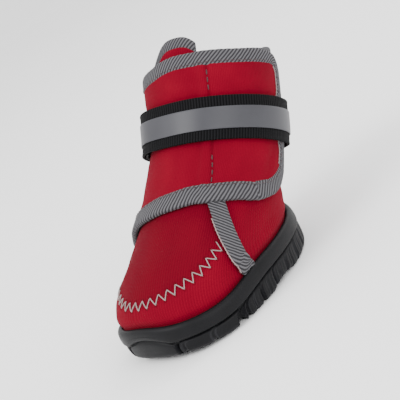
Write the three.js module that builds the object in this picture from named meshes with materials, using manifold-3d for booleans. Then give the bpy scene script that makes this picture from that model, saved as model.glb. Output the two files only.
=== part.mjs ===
// Left dog bootie: rubber cup sole, hollow neoprene upper, wrap flap and webbing strap.
// Millimetres. +Z is up, the toe points along -Y, and +X is the shoe's own left (outer) side.
// Shapes are drawn about the middle of the sole, and the finished bootie is then moved so that the
// origin is on the floor under the middle of its bounding box.
import * as THREE from "three";
import Module from "manifold-3d";

// Driving sizes
const SOLE_LENGTH = 104;
const SOLE_WIDTH = 73;
const BALL_FROM_TOE = 0.45;
const RIM_HEIGHT = 14;
const FLOOR_HEIGHT = 6;
const TOE_SPRING = 3;
const TOE_SPRING_START = -18;
const HEEL_SPRING = 2.5;
const HEEL_SPRING_START = 36;
const ARCH_RISE = 1.6;
const RIM_WALL = 3.3;
const FIT_GAP = 0.3;
const NEOPRENE = 2.6;
const INSOLE_THICKNESS = 3;
const SHAFT_LEAN = 33;
const STRAP_WIDTH = 20;
const STRAP_THICKNESS = 1.3;
const STRAP_LEVEL = 34;
const TAPE_WIDTH = 10;
const TAPE_THICKNESS = 0.5;
const FLAP_THICKNESS = 2.4;
const LAYER_GAP = 0.5;
const QUARTER_STEP = 1.2;
const QUARTER_TAPE = 7.2;
const LOWER_TAPE = 8.5;
const TOP_TAPE = 7;
const TOE_BUMP = { rise: 2, halfWidth: 17, from: -10, full: -40 };
const SIDE_RIM_RISE = { rise: 3.2, from: -34, full: 2 };
const DEGREE = Math.PI / 180;

// Small numeric helpers
const clamp01 = (x) => Math.min(1, Math.max(0, x));
const smooth = (a, b, x) => {
  const t = clamp01((x - a) / (b - a));
  return t * t * (3 - 2 * t);
};
const mix = (a, b, t) => a + (b - a) * t;
const signedPower = (x, p) => Math.sign(x) * Math.abs(x) ** p;

// Reads one column of a table at x, as a smooth curve through its rows.
function column(rows, key, name, x) {
  const last = rows.length - 1;
  if (x <= rows[0][key]) return rows[0][name];
  if (x >= rows[last][key]) return rows[last][name];
  let i = 0;
  while (x > rows[i + 1][key]) i += 1;
  const slope = (j) => {
    if (j <= 0 || j >= last) {
      const k = j <= 0 ? 0 : last - 1;
      return (rows[k + 1][name] - rows[k][name]) / (rows[k + 1][key] - rows[k][key]);
    }
    const before = (rows[j][name] - rows[j - 1][name]) / (rows[j][key] - rows[j - 1][key]);
    const after = (rows[j + 1][name] - rows[j][name]) / (rows[j + 1][key] - rows[j][key]);
    return before * after <= 0 ? 0 : (2 * before * after) / (before + after);
  };
  const h = rows[i + 1][key] - rows[i][key];
  const t = (x - rows[i][key]) / h;
  const t2 = t * t;
  const t3 = t2 * t;
  return (2 * t3 - 3 * t2 + 1) * rows[i][name] + (t3 - 2 * t2 + t) * h * slope(i)
    + (3 * t2 - 2 * t3) * rows[i + 1][name] + (t3 - t2) * h * slope(i + 1);
}

// Sole heights along the shoe: toe and heel curve up from two flat spots, with an arch between them.
const TOE_CURVE = 1.8;
const HEEL_CURVE = 2;
const lift = (y) => {
  const toe = clamp01((TOE_SPRING_START - y) / (SOLE_LENGTH / 2 + TOE_SPRING_START));
  const heel = clamp01((y - HEEL_SPRING_START) / (SOLE_LENGTH / 2 - HEEL_SPRING_START));
  return TOE_SPRING * toe ** TOE_CURVE + HEEL_SPRING * heel ** HEEL_CURVE;
};
const arch = (y) => ARCH_RISE * smooth(-4, 6, y) * (1 - smooth(10, 20, y));
const sideRise = (y) => SIDE_RIM_RISE.rise * smooth(SIDE_RIM_RISE.from, SIDE_RIM_RISE.full, y);
const rimTop = (x, y) => {
  const bumpHere = Math.exp(-((x / TOE_BUMP.halfWidth) ** 2)) * smooth(TOE_BUMP.from, TOE_BUMP.full, y);
  return RIM_HEIGHT + lift(y) + TOE_BUMP.rise * bumpHere + sideRise(y);
};

// Sole outline at an angle (0 at the toe, +90 at the outer side), drawn in by an inset.
const SOLE_TOE_POWER = 2.6;
const SOLE_HEEL_POWER = 2.2;
function outline(theta, inset) {
  const c = Math.cos(theta * DEGREE);
  const s = Math.sin(theta * DEGREE);
  const power = c >= 0 ? SOLE_TOE_POWER : SOLE_HEEL_POWER;
  const ball = -SOLE_LENGTH / 2 + SOLE_LENGTH * BALL_FROM_TOE;
  const reach = (c >= 0 ? SOLE_LENGTH * BALL_FROM_TOE : SOLE_LENGTH * (1 - BALL_FROM_TOE)) - inset;
  return {
    x: (SOLE_WIDTH / 2 - inset) * signedPower(s, 2 / power),
    y: ball - reach * signedPower(c, 2 / power),
  };
}

// Sections of the upper. v is the height up the back of the heel and shaft. Each section is a ring
// through a front point and a rear point, with a half width, the place where it is widest (as a part
// of its length from the front) and the roundness of its two ends.
const BASE_INSET = RIM_WALL + FIT_GAP;
const SECTIONS = [
  [0, -48.4, 19.0, 48.4, 19.0, 32.9, 0.45, 2.6, 2.2],
  [2.2, -49.2, 22.6, 48.8, 21.1, 33.6, 0.45, 2.5, 2.2],
  [4.4, -47.5, 26.5, 49.6, 23.1, 33.8, 0.45, 2.35, 2.2],
  [7, -42.3, 30.9, 51.1, 25.4, 33.4, 0.455, 2.15, 2.2],
  [10, -34.5, 35.8, 53.0, 27.9, 32.4, 0.46, 2.0, 2.15],
  [13, -25.6, 41.0, 55.0, 30.4, 31.2, 0.47, 1.95, 2.15],
  [16.2, -15.7, 46.8, 57.4, 33.0, 29.9, 0.48, 1.95, 2.1],
  [19.6, -6.1, 52.9, 59.8, 35.7, 28.8, 0.485, 1.95, 2.1],
  [23.4, 3.4, 59.3, 62.5, 38.7, 28.0, 0.49, 2.0, 2.05],
  [27.4, 11.3, 66.2, 65.2, 41.9, 27.6, 0.495, 2.0, 2],
  [31.6, 17.6, 73.4, 67.6, 45.3, 27.5, 0.5, 2, 2],
  [36, 22.2, 80.0, 70.0, 49.0, 27.6, 0.5, 2, 2],
  [58, 34.2, 98.4, 82.0, 67.5, 28.1, 0.5, 2, 2],
  [84, 48.3, 120.3, 96.1, 89.3, 28.6, 0.5, 2, 2],
].map(([v, frontY, frontZ, rearY, rearZ, half, widest, toe, heel]) => (
  { v, frontY, frontZ, rearY, rearZ, half, widest, toe, heel }
));
const SHAFT_SWAY = 1.5;
const SETTLE_HEIGHT = 12;

function ringPoint(theta, v) {
  const at = (name) => column(SECTIONS, "v", name, v);
  const c = Math.cos(theta * DEGREE);
  const s = Math.sin(theta * DEGREE);
  const power = c >= 0 ? at("toe") : at("heel");
  const widest = at("widest");
  const frontY = at("frontY");
  const frontZ = at("frontZ");
  const rearY = at("rearY");
  const rearZ = at("rearZ");
  const along = c >= 0 ? -widest * Math.abs(c) ** (2 / power) : (1 - widest) * Math.abs(c) ** (2 / power);
  return {
    x: at("half") * signedPower(s, 2 / power),
    y: mix(frontY, rearY, widest + along),
    z: mix(frontZ, rearZ, widest + along),
  };
}

// The outer face of the bare upper. Below v = 0 it goes straight down inside the sole's rim.
function surface(theta, v) {
  const seat = ringPoint(theta, 0);
  const rim = rimTop(seat.x, seat.y);
  if (v <= 0) {
    const foot = lift(seat.y) + FLOOR_HEIGHT + FIT_GAP;
    return new THREE.Vector3(seat.x, seat.y, mix(foot, rim, clamp01(1 + v)));
  }
  const ring = ringPoint(theta, v);
  const settle = 1 - smooth(0, SETTLE_HEIGHT, v);
  const sway = SHAFT_SWAY * smooth(4, 40, v);
  return new THREE.Vector3(ring.x + sway, ring.y, ring.z + (rim - seat.z) * settle);
}

function frameAt(theta, v) {
  const dTheta = 0.4;
  const dV = 0.06;
  const low = v <= 0 ? Math.max(-1, v - dV) : v;
  const high = v <= 0 ? Math.min(0, v + dV) : v + dV;
  const perDegree = surface(theta + dTheta, v).sub(surface(theta - dTheta, v)).divideScalar(2 * dTheta);
  const perV = surface(theta, high).sub(surface(theta, low)).divideScalar(high - low);
  const normal = perDegree.clone().cross(perV).normalize();
  return { point: surface(theta, v), perDegree, perV, normal };
}

function offsetPoint(theta, v, off) {
  const frame = frameAt(theta, v);
  return frame.point.addScaledVector(frame.normal, off);
}

// Height of a point along the leaning shaft, from the back of the rim.
const SHAFT_AXIS = new THREE.Vector3(0, Math.sin(SHAFT_LEAN * DEGREE), Math.cos(SHAFT_LEAN * DEGREE));
const HEEL_RIM = new THREE.Vector3(0, 48.4, 19.0);
const shaftHeight = (point) => point.clone().sub(HEEL_RIM).dot(SHAFT_AXIS);

// The v at which the surface reaches a height along the shaft.
function levelV(theta, height) {
  let low = 0.5;
  let high = 84;
  for (let i = 0; i < 30; i += 1) {
    const middle = (low + high) / 2;
    if (shaftHeight(surface(theta, middle)) < height) low = middle;
    else high = middle;
  }
  return (low + high) / 2;
}

// Tables of edges round the shaft, by angle
const COLLAR = [
  { theta: -180, v: 73 }, { theta: -150, v: 70 }, { theta: -120, v: 63.5 }, { theta: -90, v: 59.5 },
  { theta: -45, v: 60.5 }, { theta: 0, v: 62 }, { theta: 45, v: 64 }, { theta: 90, v: 66 },
  { theta: 120, v: 68 }, { theta: 150, v: 72 }, { theta: 180, v: 73 },
];
const FLAP_TOP = [
  { theta: -150, v: 63.5 }, { theta: -120, v: 61.5 }, { theta: -90, v: 61 }, { theta: -45, v: 60.5 },
  { theta: -10, v: 61.8 }, { theta: 5, v: 63.4 }, { theta: 20, v: 64.2 }, { theta: 66, v: 64.2 },
  { theta: 94, v: 64.8 }, { theta: 122, v: 64.8 },
];
const FLAP_LOW = [
  { theta: -150, v: -16 }, { theta: -110, v: -2 }, { theta: -81, v: 8.2 },
  { theta: -66, v: 11.4 }, { theta: -51, v: 13.9 }, { theta: -31, v: 16.1 }, { theta: -10, v: 17.4 },
  { theta: 12, v: 18.1 }, { theta: 30, v: 18.2 }, { theta: 49, v: 17.2 }, { theta: 67, v: 15.9 },
  { theta: 95, v: 13 }, { theta: 122, v: 10.4 },
];
const STRAP_SEAT = [
  { phi: -440, off: 5.6 }, { phi: -425, off: 5.4 }, { phi: -385, off: 5.3 }, { phi: -352, off: 3.7 },
  { phi: -338, off: 4.0 }, { phi: -320, off: 4.6 }, { phi: -300, off: 4.6 }, { phi: -268, off: 5.0 },
  { phi: -230, off: 5.3 },
  { phi: -212, off: 3.4 }, { phi: -185, off: 2.2 }, { phi: -150, off: 2.4 }, { phi: -120, off: 3.5 },
  { phi: -25, off: 3.55 },
];
const collarV = (theta) => column(COLLAR, "theta", "v", theta);
const flapTopV = (theta) => column(FLAP_TOP, "theta", "v", theta);
const flapLowV = (theta) => column(FLAP_LOW, "theta", "v", theta);
const wrapAngle = (theta) => ((((theta + 180) % 360) + 360) % 360) - 180;

// The lateral quarter lies over the vamp as a step in the upper's wall.
const QUARTER_FOOT = 91;
const QUARTER_SLOPE = 2.2;
const QUARTER_LEAN_TOP = 22;
const quarterEdge = (v) => QUARTER_FOOT - QUARTER_SLOPE * Math.min(v, QUARTER_LEAN_TOP);
const STEP_RAMP = 5;
function quarterRise(angle, v, ahead) {
  const theta = wrapAngle(angle);
  const start = quarterEdge(v) - 1 - ahead;
  const front = smooth(start, start + STEP_RAMP, theta);
  const back = theta < 0 ? 1 - smooth(-160 + ahead, -130 + ahead, theta) : 0;
  return QUARTER_STEP * Math.max(front, back) * smooth(0.2, 3, v);
}
const quarterStep = (theta, v) => quarterRise(theta, v, 0);
// What lies over the step starts to rise a little ahead of it.
const COVER_LEAD = 7;
const coverStep = (theta, v) => quarterRise(theta, v, COVER_LEAD);

// Solid builders. A grid is an array of rows of points; all rows have one length.
function solidFromFaces(points, faces) {
  const geometry = new THREE.BufferGeometry();
  const positions = new Float32Array(points.length * 3);
  points.forEach((p, i) => p.toArray(positions, i * 3));
  geometry.setAttribute("position", new THREE.BufferAttribute(positions, 3));
  geometry.setIndex(faces.flat());
  return geometry;
}

// Stacks closed rings into a tube that also closes on itself, first ring to last ring.
function ringLoop(rings) {
  const count = rings[0].length;
  const faces = [];
  rings.forEach((ring, r) => {
    const next = (r + 1) % rings.length;
    for (let i = 0; i < count; i += 1) {
      const j = (i + 1) % count;
      const a = r * count + i;
      const b = r * count + j;
      const c = next * count + j;
      const d = next * count + i;
      faces.push([a, b, c], [a, c, d]);
    }
  });
  return solidFromFaces(rings.flat(), faces);
}

// Sweeps one closed section along an open path and caps both ends.
function sectionSweep(sections) {
  const count = sections[0].length;
  const faces = [];
  for (let r = 0; r < sections.length - 1; r += 1) {
    for (let i = 0; i < count; i += 1) {
      const j = (i + 1) % count;
      const a = r * count + i;
      const b = r * count + j;
      faces.push([a, b, b + count], [a, b + count, a + count]);
    }
  }
  const end = (sections.length - 1) * count;
  for (let i = 1; i < count - 1; i += 1) {
    faces.push([0, i + 1, i], [end, end + i, end + i + 1]);
  }
  return solidFromFaces(sections.flat(), faces);
}

// A curved panel between an inner and an outer offset of the upper's surface.
function panel({ columns, rows, place, inner, outer }) {
  const points = [];
  const index = (side, i, j) => side * columns.length * rows.length + i * rows.length + j;
  [inner, outer].forEach((offset) => {
    columns.forEach((s) => rows.forEach((t) => {
      const spot = place(s, t);
      points.push(offsetPoint(spot.theta, spot.v, offset(spot.theta, spot.v)));
    }));
  });
  const faces = [];
  const quad = (a, b, c, d) => faces.push([a, b, c], [a, c, d]);
  const lastI = columns.length - 1;
  const lastJ = rows.length - 1;
  for (let i = 0; i < lastI; i += 1) {
    for (let j = 0; j < lastJ; j += 1) {
      quad(index(1, i, j), index(1, i + 1, j), index(1, i + 1, j + 1), index(1, i, j + 1));
      quad(index(0, i, j), index(0, i, j + 1), index(0, i + 1, j + 1), index(0, i + 1, j));
    }
    quad(index(0, i, 0), index(0, i + 1, 0), index(1, i + 1, 0), index(1, i, 0));
    quad(index(1, i, lastJ), index(1, i + 1, lastJ), index(0, i + 1, lastJ), index(0, i, lastJ));
  }
  for (let j = 0; j < lastJ; j += 1) {
    quad(index(0, 0, j), index(1, 0, j), index(1, 0, j + 1), index(0, 0, j + 1));
    quad(index(1, lastI, j), index(0, lastI, j), index(0, lastI, j + 1), index(1, lastI, j + 1));
  }
  return solidFromFaces(points, faces);
}

// A tape that follows a path of { theta, v } spots on the upper's surface and ends above the rim.
const TAPE_FOOT = 0.9;
const TAPE_BEVEL = 1.2;
const TAPE_ROUND = 0.6;
function tapeAlong(path, width, low, high) {
  const sections = path.map((spot, k) => {
    const before = path[Math.max(0, k - 1)];
    const after = path[Math.min(path.length - 1, k + 1)];
    const frame = frameAt(spot.theta, Math.max(TAPE_FOOT, spot.v));
    const tangent = frame.perDegree.clone().multiplyScalar(after.theta - before.theta)
      .addScaledVector(frame.perV, after.v - before.v).normalize();
    const side = frame.normal.clone().cross(tangent).normalize();
    const gTT = frame.perDegree.dot(frame.perDegree);
    const gTV = frame.perDegree.dot(frame.perV);
    const gVV = frame.perV.dot(frame.perV);
    const bT = side.dot(frame.perDegree);
    const bV = side.dot(frame.perV);
    const det = gTT * gVV - gTV * gTV;
    const stepTheta = (bT * gVV - bV * gTV) / det;
    const stepV = (bV * gTT - bT * gTV) / det;
    const lowOff = low(spot.theta, spot.v);
    const highOff = high(spot.theta, spot.v);
    const round = Math.min(TAPE_ROUND, (highOff - lowOff) * 0.45);
    const half = (typeof width === "function" ? width(k) : width) / 2;
    const profile = [
      [-half, lowOff], [half, lowOff], [half, highOff - round], [half - TAPE_BEVEL, highOff],
      [-half + TAPE_BEVEL, highOff], [-half, highOff - round],
    ];
    return profile.map(([a, off]) => offsetPoint(
      spot.theta + stepTheta * a, Math.max(TAPE_FOOT, spot.v + stepV * a), off,
    ));
  });
  return sectionSweep(sections);
}

const steps = (from, to, count) => Array.from({ length: count + 1 }, (_, i) => mix(from, to, i / count));
const metricV = (theta, v) => frameAt(theta, v).perV.length();
const metricTheta = (theta, v) => frameAt(theta, v).perDegree.length();

// Outsole. Lugs run round its side: each row gives a stretch of the half outline, measured in
// millimetres from the toe, and how deep it is cut back.
const LUGS = [
  { name: "toe pad", from: 0, to: 14.2, cuts: 0, cut: 0 },
  { name: "toe notch", from: 14.2, to: 18.4, cuts: 1, cut: 3.2 },
  { name: "forefoot lug", from: 18.4, to: 46, cuts: 2, cut: 0.7 },
  { name: "flex notch", from: 46, to: 51.5, cuts: 1, cut: 2.4 },
  { name: "side lugs", from: 51.5, to: 115, cuts: 6, cut: 1.5 },
  { name: "heel lugs", from: 115, to: 138, cuts: 3, cut: 1.2 },
];
const LUG_LEAN = 2.8;

// Angle on the outline for a distance from the toe.
const OUTLINE_TABLE = (() => {
  const table = [{ s: 0, theta: 0 }];
  let last = outline(0, 0);
  let total = 0;
  for (let theta = 0.5; theta <= 180; theta += 0.5) {
    const next = outline(theta, 0);
    total += Math.hypot(next.x - last.x, next.y - last.y);
    table.push({ s: total, theta });
    last = next;
  }
  return table;
})();
const HALF_GIRTH = OUTLINE_TABLE[OUTLINE_TABLE.length - 1].s;
function angleAt(s) {
  const k = OUTLINE_TABLE.findIndex((row) => row.s >= s);
  if (k <= 0) return k === 0 ? 0 : 180;
  const a = OUTLINE_TABLE[k - 1];
  const b = OUTLINE_TABLE[k];
  return mix(a.theta, b.theta, (s - a.s) / (b.s - a.s));
}

// Stations round half the sole: distance from the toe, and the cut there.
function lugStations() {
  const stations = [];
  const scale = HALF_GIRTH / LUGS[LUGS.length - 1].to;
  LUGS.forEach((row) => {
    const length = (row.to - row.from) / Math.max(1, row.cuts);
    if (row.cuts === 0) {
      steps(row.from, row.to - 0.6, 3).forEach((s) => stations.push({ s: s * scale, cut: 0 }));
      return;
    }
    const notch = row.name.endsWith("notch");
    for (let k = 0; k < row.cuts; k += 1) {
      const start = row.from + k * length;
      const floor = notch ? [0.3, 0.7] : [0.08, 0.2];
      const ends = notch ? [0.02, 0.98] : [0.0, 0.3];
      stations.push({ s: (start + ends[0] * length) * scale, cut: 0 });
      floor.forEach((f) => stations.push({ s: (start + f * length) * scale, cut: row.cut }));
      stations.push({ s: (start + ends[1] * length) * scale, cut: 0 });
      if (!notch && length > 8) stations.push({ s: (start + 0.66 * length) * scale, cut: 0 });
    }
  });
  return stations.filter((st) => st.s < HALF_GIRTH - 0.8);
}

// Rings from the floor of the cup over the rim and down to the tread. Height counts from the lifted
// base, "rim" rings hang from the rim's top edge, lug is the share of a lug's cut and lean that shows,
// and tall is the share of the side's extra height.
const SOLE_RINGS = [
  { name: "floor edge", inset: RIM_WALL, height: FLOOR_HEIGHT, rim: 0, lug: 0, tall: 0 },
  { name: "rim inside", inset: RIM_WALL, height: -0.5, rim: 1, lug: 0, tall: 0 },
  { name: "rim top", inset: 2.5, height: 0, rim: 1, lug: 0, tall: 0 },
  { name: "rim round", inset: 1.1, height: -0.7, rim: 1, lug: 0, tall: 0 },
  { name: "rim side", inset: 0.15, height: -2.8, rim: 1, lug: 0, tall: 0 },
  { name: "band foot", inset: 0, height: 8.2, rim: 0, lug: 0, tall: 1 },
  { name: "band edge", inset: 0.5, height: 6.9, rim: 0, lug: 0, tall: 1 },
  { name: "groove", inset: 1.5, height: 6.5, rim: 0, lug: 0, tall: 1 },
  { name: "lug top", inset: 0.9, height: 6.0, rim: 0, lug: 0.25, tall: 1 },
  { name: "lug side", inset: 0.9, height: 3.2, rim: 0, lug: 0.8, tall: 0.5 },
  { name: "lug edge", inset: 1.9, height: 1.0, rim: 0, lug: 1, tall: 0 },
  { name: "tread edge", inset: 3.1, height: 0, rim: 0, lug: 1, tall: 0 },
];
const TREAD_CHEVRON = 4;
const TREAD_CUT = 0.9;
const EDGE_CUT = 0.4;

function outsole() {
  const half = lugStations();
  const right = half.slice(1).reverse().map((st) => ({ ...st, side: -1 }));
  const heel = { s: HALF_GIRTH, cut: 0, side: 1 };
  const stations = [...half.map((st) => ({ ...st, side: 1 })), heel, ...right];
  const points = [];
  SOLE_RINGS.forEach((ring) => {
    stations.forEach((st) => {
      const inner = st.s > 1 && st.s < HALF_GIRTH - 1;
      const free = smooth(12, 24, st.s) * smooth(0, 14, HALF_GIRTH - st.s);
      const lean = inner ? LUG_LEAN * ring.lug * free : 0;
      const theta = st.side * angleAt(st.s - lean);
      const spot = outline(theta, ring.inset + st.cut * ring.lug);
      const base = ring.rim ? rimTop(spot.x, spot.y) : lift(spot.y);
      const groove = st.cut * (ring.height < 0.5 ? TREAD_CUT : EDGE_CUT);
      const tread = ring.lug === 1 ? arch(spot.y) + groove : 0;
      const height = ring.height + ring.tall * sideRise(spot.y);
      points.push(new THREE.Vector3(spot.x, spot.y, base + height + tread));
    });
  });
  const count = stations.length;
  const halfCount = half.length;
  const faces = [];
  for (let r = 0; r < SOLE_RINGS.length - 1; r += 1) {
    for (let i = 0; i < count; i += 1) {
      const j = (i + 1) % count;
      const a = r * count + i;
      const b = r * count + j;
      faces.push([a, a + count, b + count], [a, b + count, b]);
    }
  }
  // Each cap is a ladder of rungs from the left edge through a middle point to the right edge.
  const cap = (ringIndex, upward, middle) => {
    const base = ringIndex * count;
    const rungs = [];
    for (let k = 1; k < halfCount; k += 1) {
      const left = base + k;
      const rightIndex = base + count - k;
      points.push(middle(points[left], points[rightIndex], k));
      rungs.push([left, points.length - 1, rightIndex]);
    }
    const add = (a, b, c) => faces.push(upward ? [a, b, c] : [a, c, b]);
    const [firstL, firstM, firstR] = rungs[0];
    add(base, firstL, firstM);
    add(base, firstM, firstR);
    for (let k = 0; k < rungs.length - 1; k += 1) {
      const [l0, m0, r0] = rungs[k];
      const [l1, m1, r1] = rungs[k + 1];
      add(l0, l1, m1);
      add(l0, m1, m0);
      add(m0, m1, r1);
      add(m0, r1, r0);
    }
    const [lastL, lastM, lastR] = rungs[rungs.length - 1];
    const heelPoint = base + halfCount;
    add(lastL, heelPoint, lastM);
    add(lastM, heelPoint, lastR);
  };
  cap(0, true, (l, r) => l.clone().add(r).multiplyScalar(0.5));
  cap(SOLE_RINGS.length - 1, false, (l, r, k) => {
    const middle = l.clone().add(r).multiplyScalar(0.5);
    const ends = smooth(14, 30, half[k].s) * smooth(6, 20, HALF_GIRTH - half[k].s);
    middle.y += TREAD_CHEVRON * ends;
    middle.z = lift(middle.y) + arch(middle.y) + half[k].cut * TREAD_CUT;
    return middle;
  });
  return solidFromFaces(points, faces);
}

// Insole: a board on the cup's floor, inside the upper's wall.
function insole() {
  const inset = BASE_INSET + NEOPRENE + FIT_GAP;
  const angles = steps(0, 360, 48).slice(0, 48);
  const heights = [FLOOR_HEIGHT + FIT_GAP, FLOOR_HEIGHT + FIT_GAP + INSOLE_THICKNESS];
  const points = [];
  heights.forEach((height) => angles.forEach((theta) => {
    const spot = outline(theta <= 180 ? theta : theta - 360, inset);
    points.push(new THREE.Vector3(spot.x, spot.y, lift(spot.y) + height));
  }));
  const n = angles.length;
  const faces = [];
  for (let i = 0; i < n; i += 1) {
    const j = (i + 1) % n;
    faces.push([i, j, j + n], [i, j + n, i + n]);
  }
  for (let k = 0; k < n / 2; k += 1) {
    const l0 = k;
    const l1 = k + 1;
    const r0 = (n - k) % n;
    const r1 = n - k - 1;
    if (k > 0) {
      faces.push([l0, r0, l1], [l0 + n, l1 + n, r0 + n]);
    }
    if (k < n / 2 - 1) {
      faces.push([l1, r0, r1], [l1 + n, r1 + n, r0 + n]);
    }
  }
  return solidFromFaces(points, faces);
}

// Upper: one hollow shell from the cup's floor to under the collar tape.
const COLLAR_TAPE = 4.6;
const UPPER_STEPS = 48;
const UPPER_ANGLES = steps(-180, 180, UPPER_STEPS).slice(0, UPPER_STEPS);
const UPPER_LEVELS = [-1, 0, 1.1, 2.8, 5, 8, 11.5, 15.5, 19.5, 23.4, 27.4, 32, 38, 54];
function upperShell(grown) {
  const outside = (theta, v) => quarterStep(theta, v) + grown;
  const ring = (v, offset, ceiling) => UPPER_ANGLES.map((theta) => {
    const top = collarV(theta) - COLLAR_TAPE;
    const level = ceiling ? top : Math.min(v, top - 0.8);
    return offsetPoint(theta, level, offset(theta, level));
  });
  const outer = UPPER_LEVELS.map((v) => ring(v, outside, false));
  const inner = UPPER_LEVELS.map((v) => ring(v, () => -NEOPRENE, false));
  const outerTop = ring(0, outside, true);
  const innerTop = ring(0, () => -NEOPRENE, true);
  return ringLoop([...outer, outerTop, innerTop, ...inner.reverse()]);
}

// Throat slot and the tongue that fills it
const TONGUE_CENTRE = -8;
const TONGUE_HALF_ANGLE = 44;
const TONGUE_FOOT = 34;
const TONGUE_TOP = 73.3;
const TONGUE_TAPE = 6;
const TONGUE_ROUND = { peak: 16, reach: 28, drop: 12, power: 3 };
const THROAT_TOP = 83;
const THROAT_GAP = FIT_GAP + 0.05;
const tongueTopV = (theta) => {
  const across = Math.abs(theta - TONGUE_ROUND.peak) / TONGUE_ROUND.reach;
  return TONGUE_TOP - TONGUE_ROUND.drop * (1 - Math.exp(-(across ** TONGUE_ROUND.power)));
};
const TONGUE_ROWS = [0, 0.25, 0.5, 0.75, 1];
const TONGUE_SPAN = steps(-1, 1, 12);
// How far one degree reaches round the shaft.
const MM_PER_DEGREE = 0.5;
function throatCutter() {
  const widen = THROAT_GAP / MM_PER_DEGREE;
  return panel({
    columns: TONGUE_SPAN,
    rows: TONGUE_ROWS,
    place: (s, t) => ({
      theta: TONGUE_CENTRE + s * (TONGUE_HALF_ANGLE + widen),
      v: mix(TONGUE_FOOT, THROAT_TOP, t),
    }),
    inner: () => -NEOPRENE - 3,
    outer: () => 4,
  });
}
function tongue() {
  return panel({
    columns: TONGUE_SPAN,
    rows: TONGUE_ROWS,
    place: (s, t) => {
      const theta = TONGUE_CENTRE + s * TONGUE_HALF_ANGLE;
      return { theta, v: mix(TONGUE_FOOT + THROAT_GAP, tongueTopV(theta) - TONGUE_TAPE, t) };
    },
    inner: () => -NEOPRENE,
    outer: () => 0,
  });
}
function tongueBinding() {
  const round = (v, theta) => 0.8 * smooth(tongueTopV(theta) - 1.6, tongueTopV(theta), v);
  return panel({
    columns: steps(-1, 1, 14),
    rows: [0, 0.5, 0.8, 1],
    place: (s, t) => {
      const theta = TONGUE_CENTRE + s * TONGUE_HALF_ANGLE;
      return { theta, v: tongueTopV(theta) + (t - 1) * (TONGUE_TAPE - THROAT_GAP) };
    },
    inner: (theta, v) => -NEOPRENE - 0.3 + round(v, theta),
    outer: (theta, v) => 0.05 - round(v, theta),
  });
}

// Collar tape: round the shaft's top edge from one side of the tongue to the other
const COLLAR_CLEARANCE = 3.5;
function collarBinding() {
  const clear = TONGUE_HALF_ANGLE + COLLAR_CLEARANCE;
  const span = steps(TONGUE_CENTRE + clear, 360 + TONGUE_CENTRE - clear, 36);
  const path = span.map((theta) => ({ theta, v: collarV(wrapAngle(theta)) - COLLAR_TAPE / 2 + 0.2 }));
  const proud = (theta) => 0.7 * smooth(138, 150, theta) * (1 - smooth(195, 208, theta));
  return tapeAlong(
    path, COLLAR_TAPE - 0.8, () => -NEOPRENE - 0.4,
    (theta, v) => quarterStep(theta, v) + proud(theta),
  );
}

// Wrap flap: its outline is drawn in by an inset, to leave room for the tape.
const FLAP_END = 123;
const FLAP_BACK = -150;
const FLAP_FOOT = 2.2;
const END_TAPE = 6;
const TAPE_PROUD = 0.6;
const FLAP_CORNER = 10;
const flapInner = (theta, v) => coverStep(theta, v) + LAYER_GAP;
const flapThickness = (theta, v) => {
  const back = mix(0.18, 1, smooth(FLAP_BACK, -112, theta));
  const foot = theta < -60 ? mix(0.3, 1, smooth(0.5, 7, v)) : 1;
  return FLAP_THICKNESS * back * foot;
};
const flapOuter = (theta, v) => flapInner(theta, v) + flapThickness(theta, v);

// How far an edge moves in v when it is drawn in by an inset square to itself.
function lowerInset(theta, inset) {
  const v = Math.max(TAPE_FOOT, flapLowV(theta));
  const slope = (flapLowV(theta + 2) - flapLowV(theta - 2)) / 4;
  const lift3d = metricV(theta, v + 1);
  const rise = (slope * lift3d) / metricTheta(theta, v);
  return (inset * Math.sqrt(1 + rise * rise)) / lift3d;
}
function flapBounds(theta, inset) {
  const end = FLAP_END - inset.end / MM_PER_DEGREE;
  const low = Math.max(FLAP_FOOT, flapLowV(theta) + lowerInset(theta, inset.low));
  const top = flapTopV(theta) - inset.top;
  const radius = Math.max(FLAP_CORNER - inset.end, 2.5);
  const run = clamp01((theta - (end - radius / MM_PER_DEGREE)) / (radius / MM_PER_DEGREE));
  const bite = radius * (1 - Math.sqrt(Math.max(0, 1 - run * run)));
  return { low: low + bite / metricV(theta, low + 1), top: top - bite };
}
function flapPanel() {
  const inset = { low: LOWER_TAPE / 2, top: TOP_TAPE / 2, end: END_TAPE / 2 };
  const end = FLAP_END - inset.end / MM_PER_DEGREE;
  return panel({
    columns: [...steps(FLAP_BACK, end - 11, 32), end - 6, end - 2, end],
    rows: [0, 0.08, 0.2, 0.35, 0.55, 1],
    place: (theta, t) => {
      const bounds = flapBounds(theta, inset);
      return { theta, v: mix(bounds.low, bounds.top, t) };
    },
    inner: flapInner,
    outer: flapOuter,
  });
}

// The tape path runs from the medial foot up the quarter edge, along the flap and back over its top.
function flapTapePath() {
  const end = FLAP_END - END_TAPE / 2 / MM_PER_DEGREE;
  const radius = FLAP_CORNER - END_TAPE / 2;
  const turn = radius / MM_PER_DEGREE;
  const lowAt = (theta) => flapLowV(theta) + lowerInset(theta, LOWER_TAPE / 2);
  const topAt = (theta) => flapTopV(theta) - TOP_TAPE / 2;
  const lowEnd = lowAt(end - turn);
  const startV = lowEnd + radius / metricV(end, lowEnd + 3);
  const topV = topAt(end - turn) - radius;
  const corner = (a, centreV, drop) => ({
    theta: end - turn + turn * Math.cos(a * DEGREE),
    v: centreV + drop * Math.sin(a * DEGREE),
    kind: "end",
  });
  return [
    ...steps(-99, end - turn, 34).map((theta) => ({ theta, v: lowAt(theta), kind: "low" })),
    ...steps(-90, 0, 4).slice(1).map((a) => corner(a, startV, startV - lowEnd)),
    ...steps(startV, topV, 5).slice(1).map((v) => ({ theta: end, v, kind: "end" })),
    ...steps(0, 90, 4).slice(1).map((a) => corner(a, topV, radius)),
    ...steps(end - turn, FLAP_BACK, 32).slice(1).map((theta) => ({ theta, v: topAt(theta), kind: "top" })),
  ];
}
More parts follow.
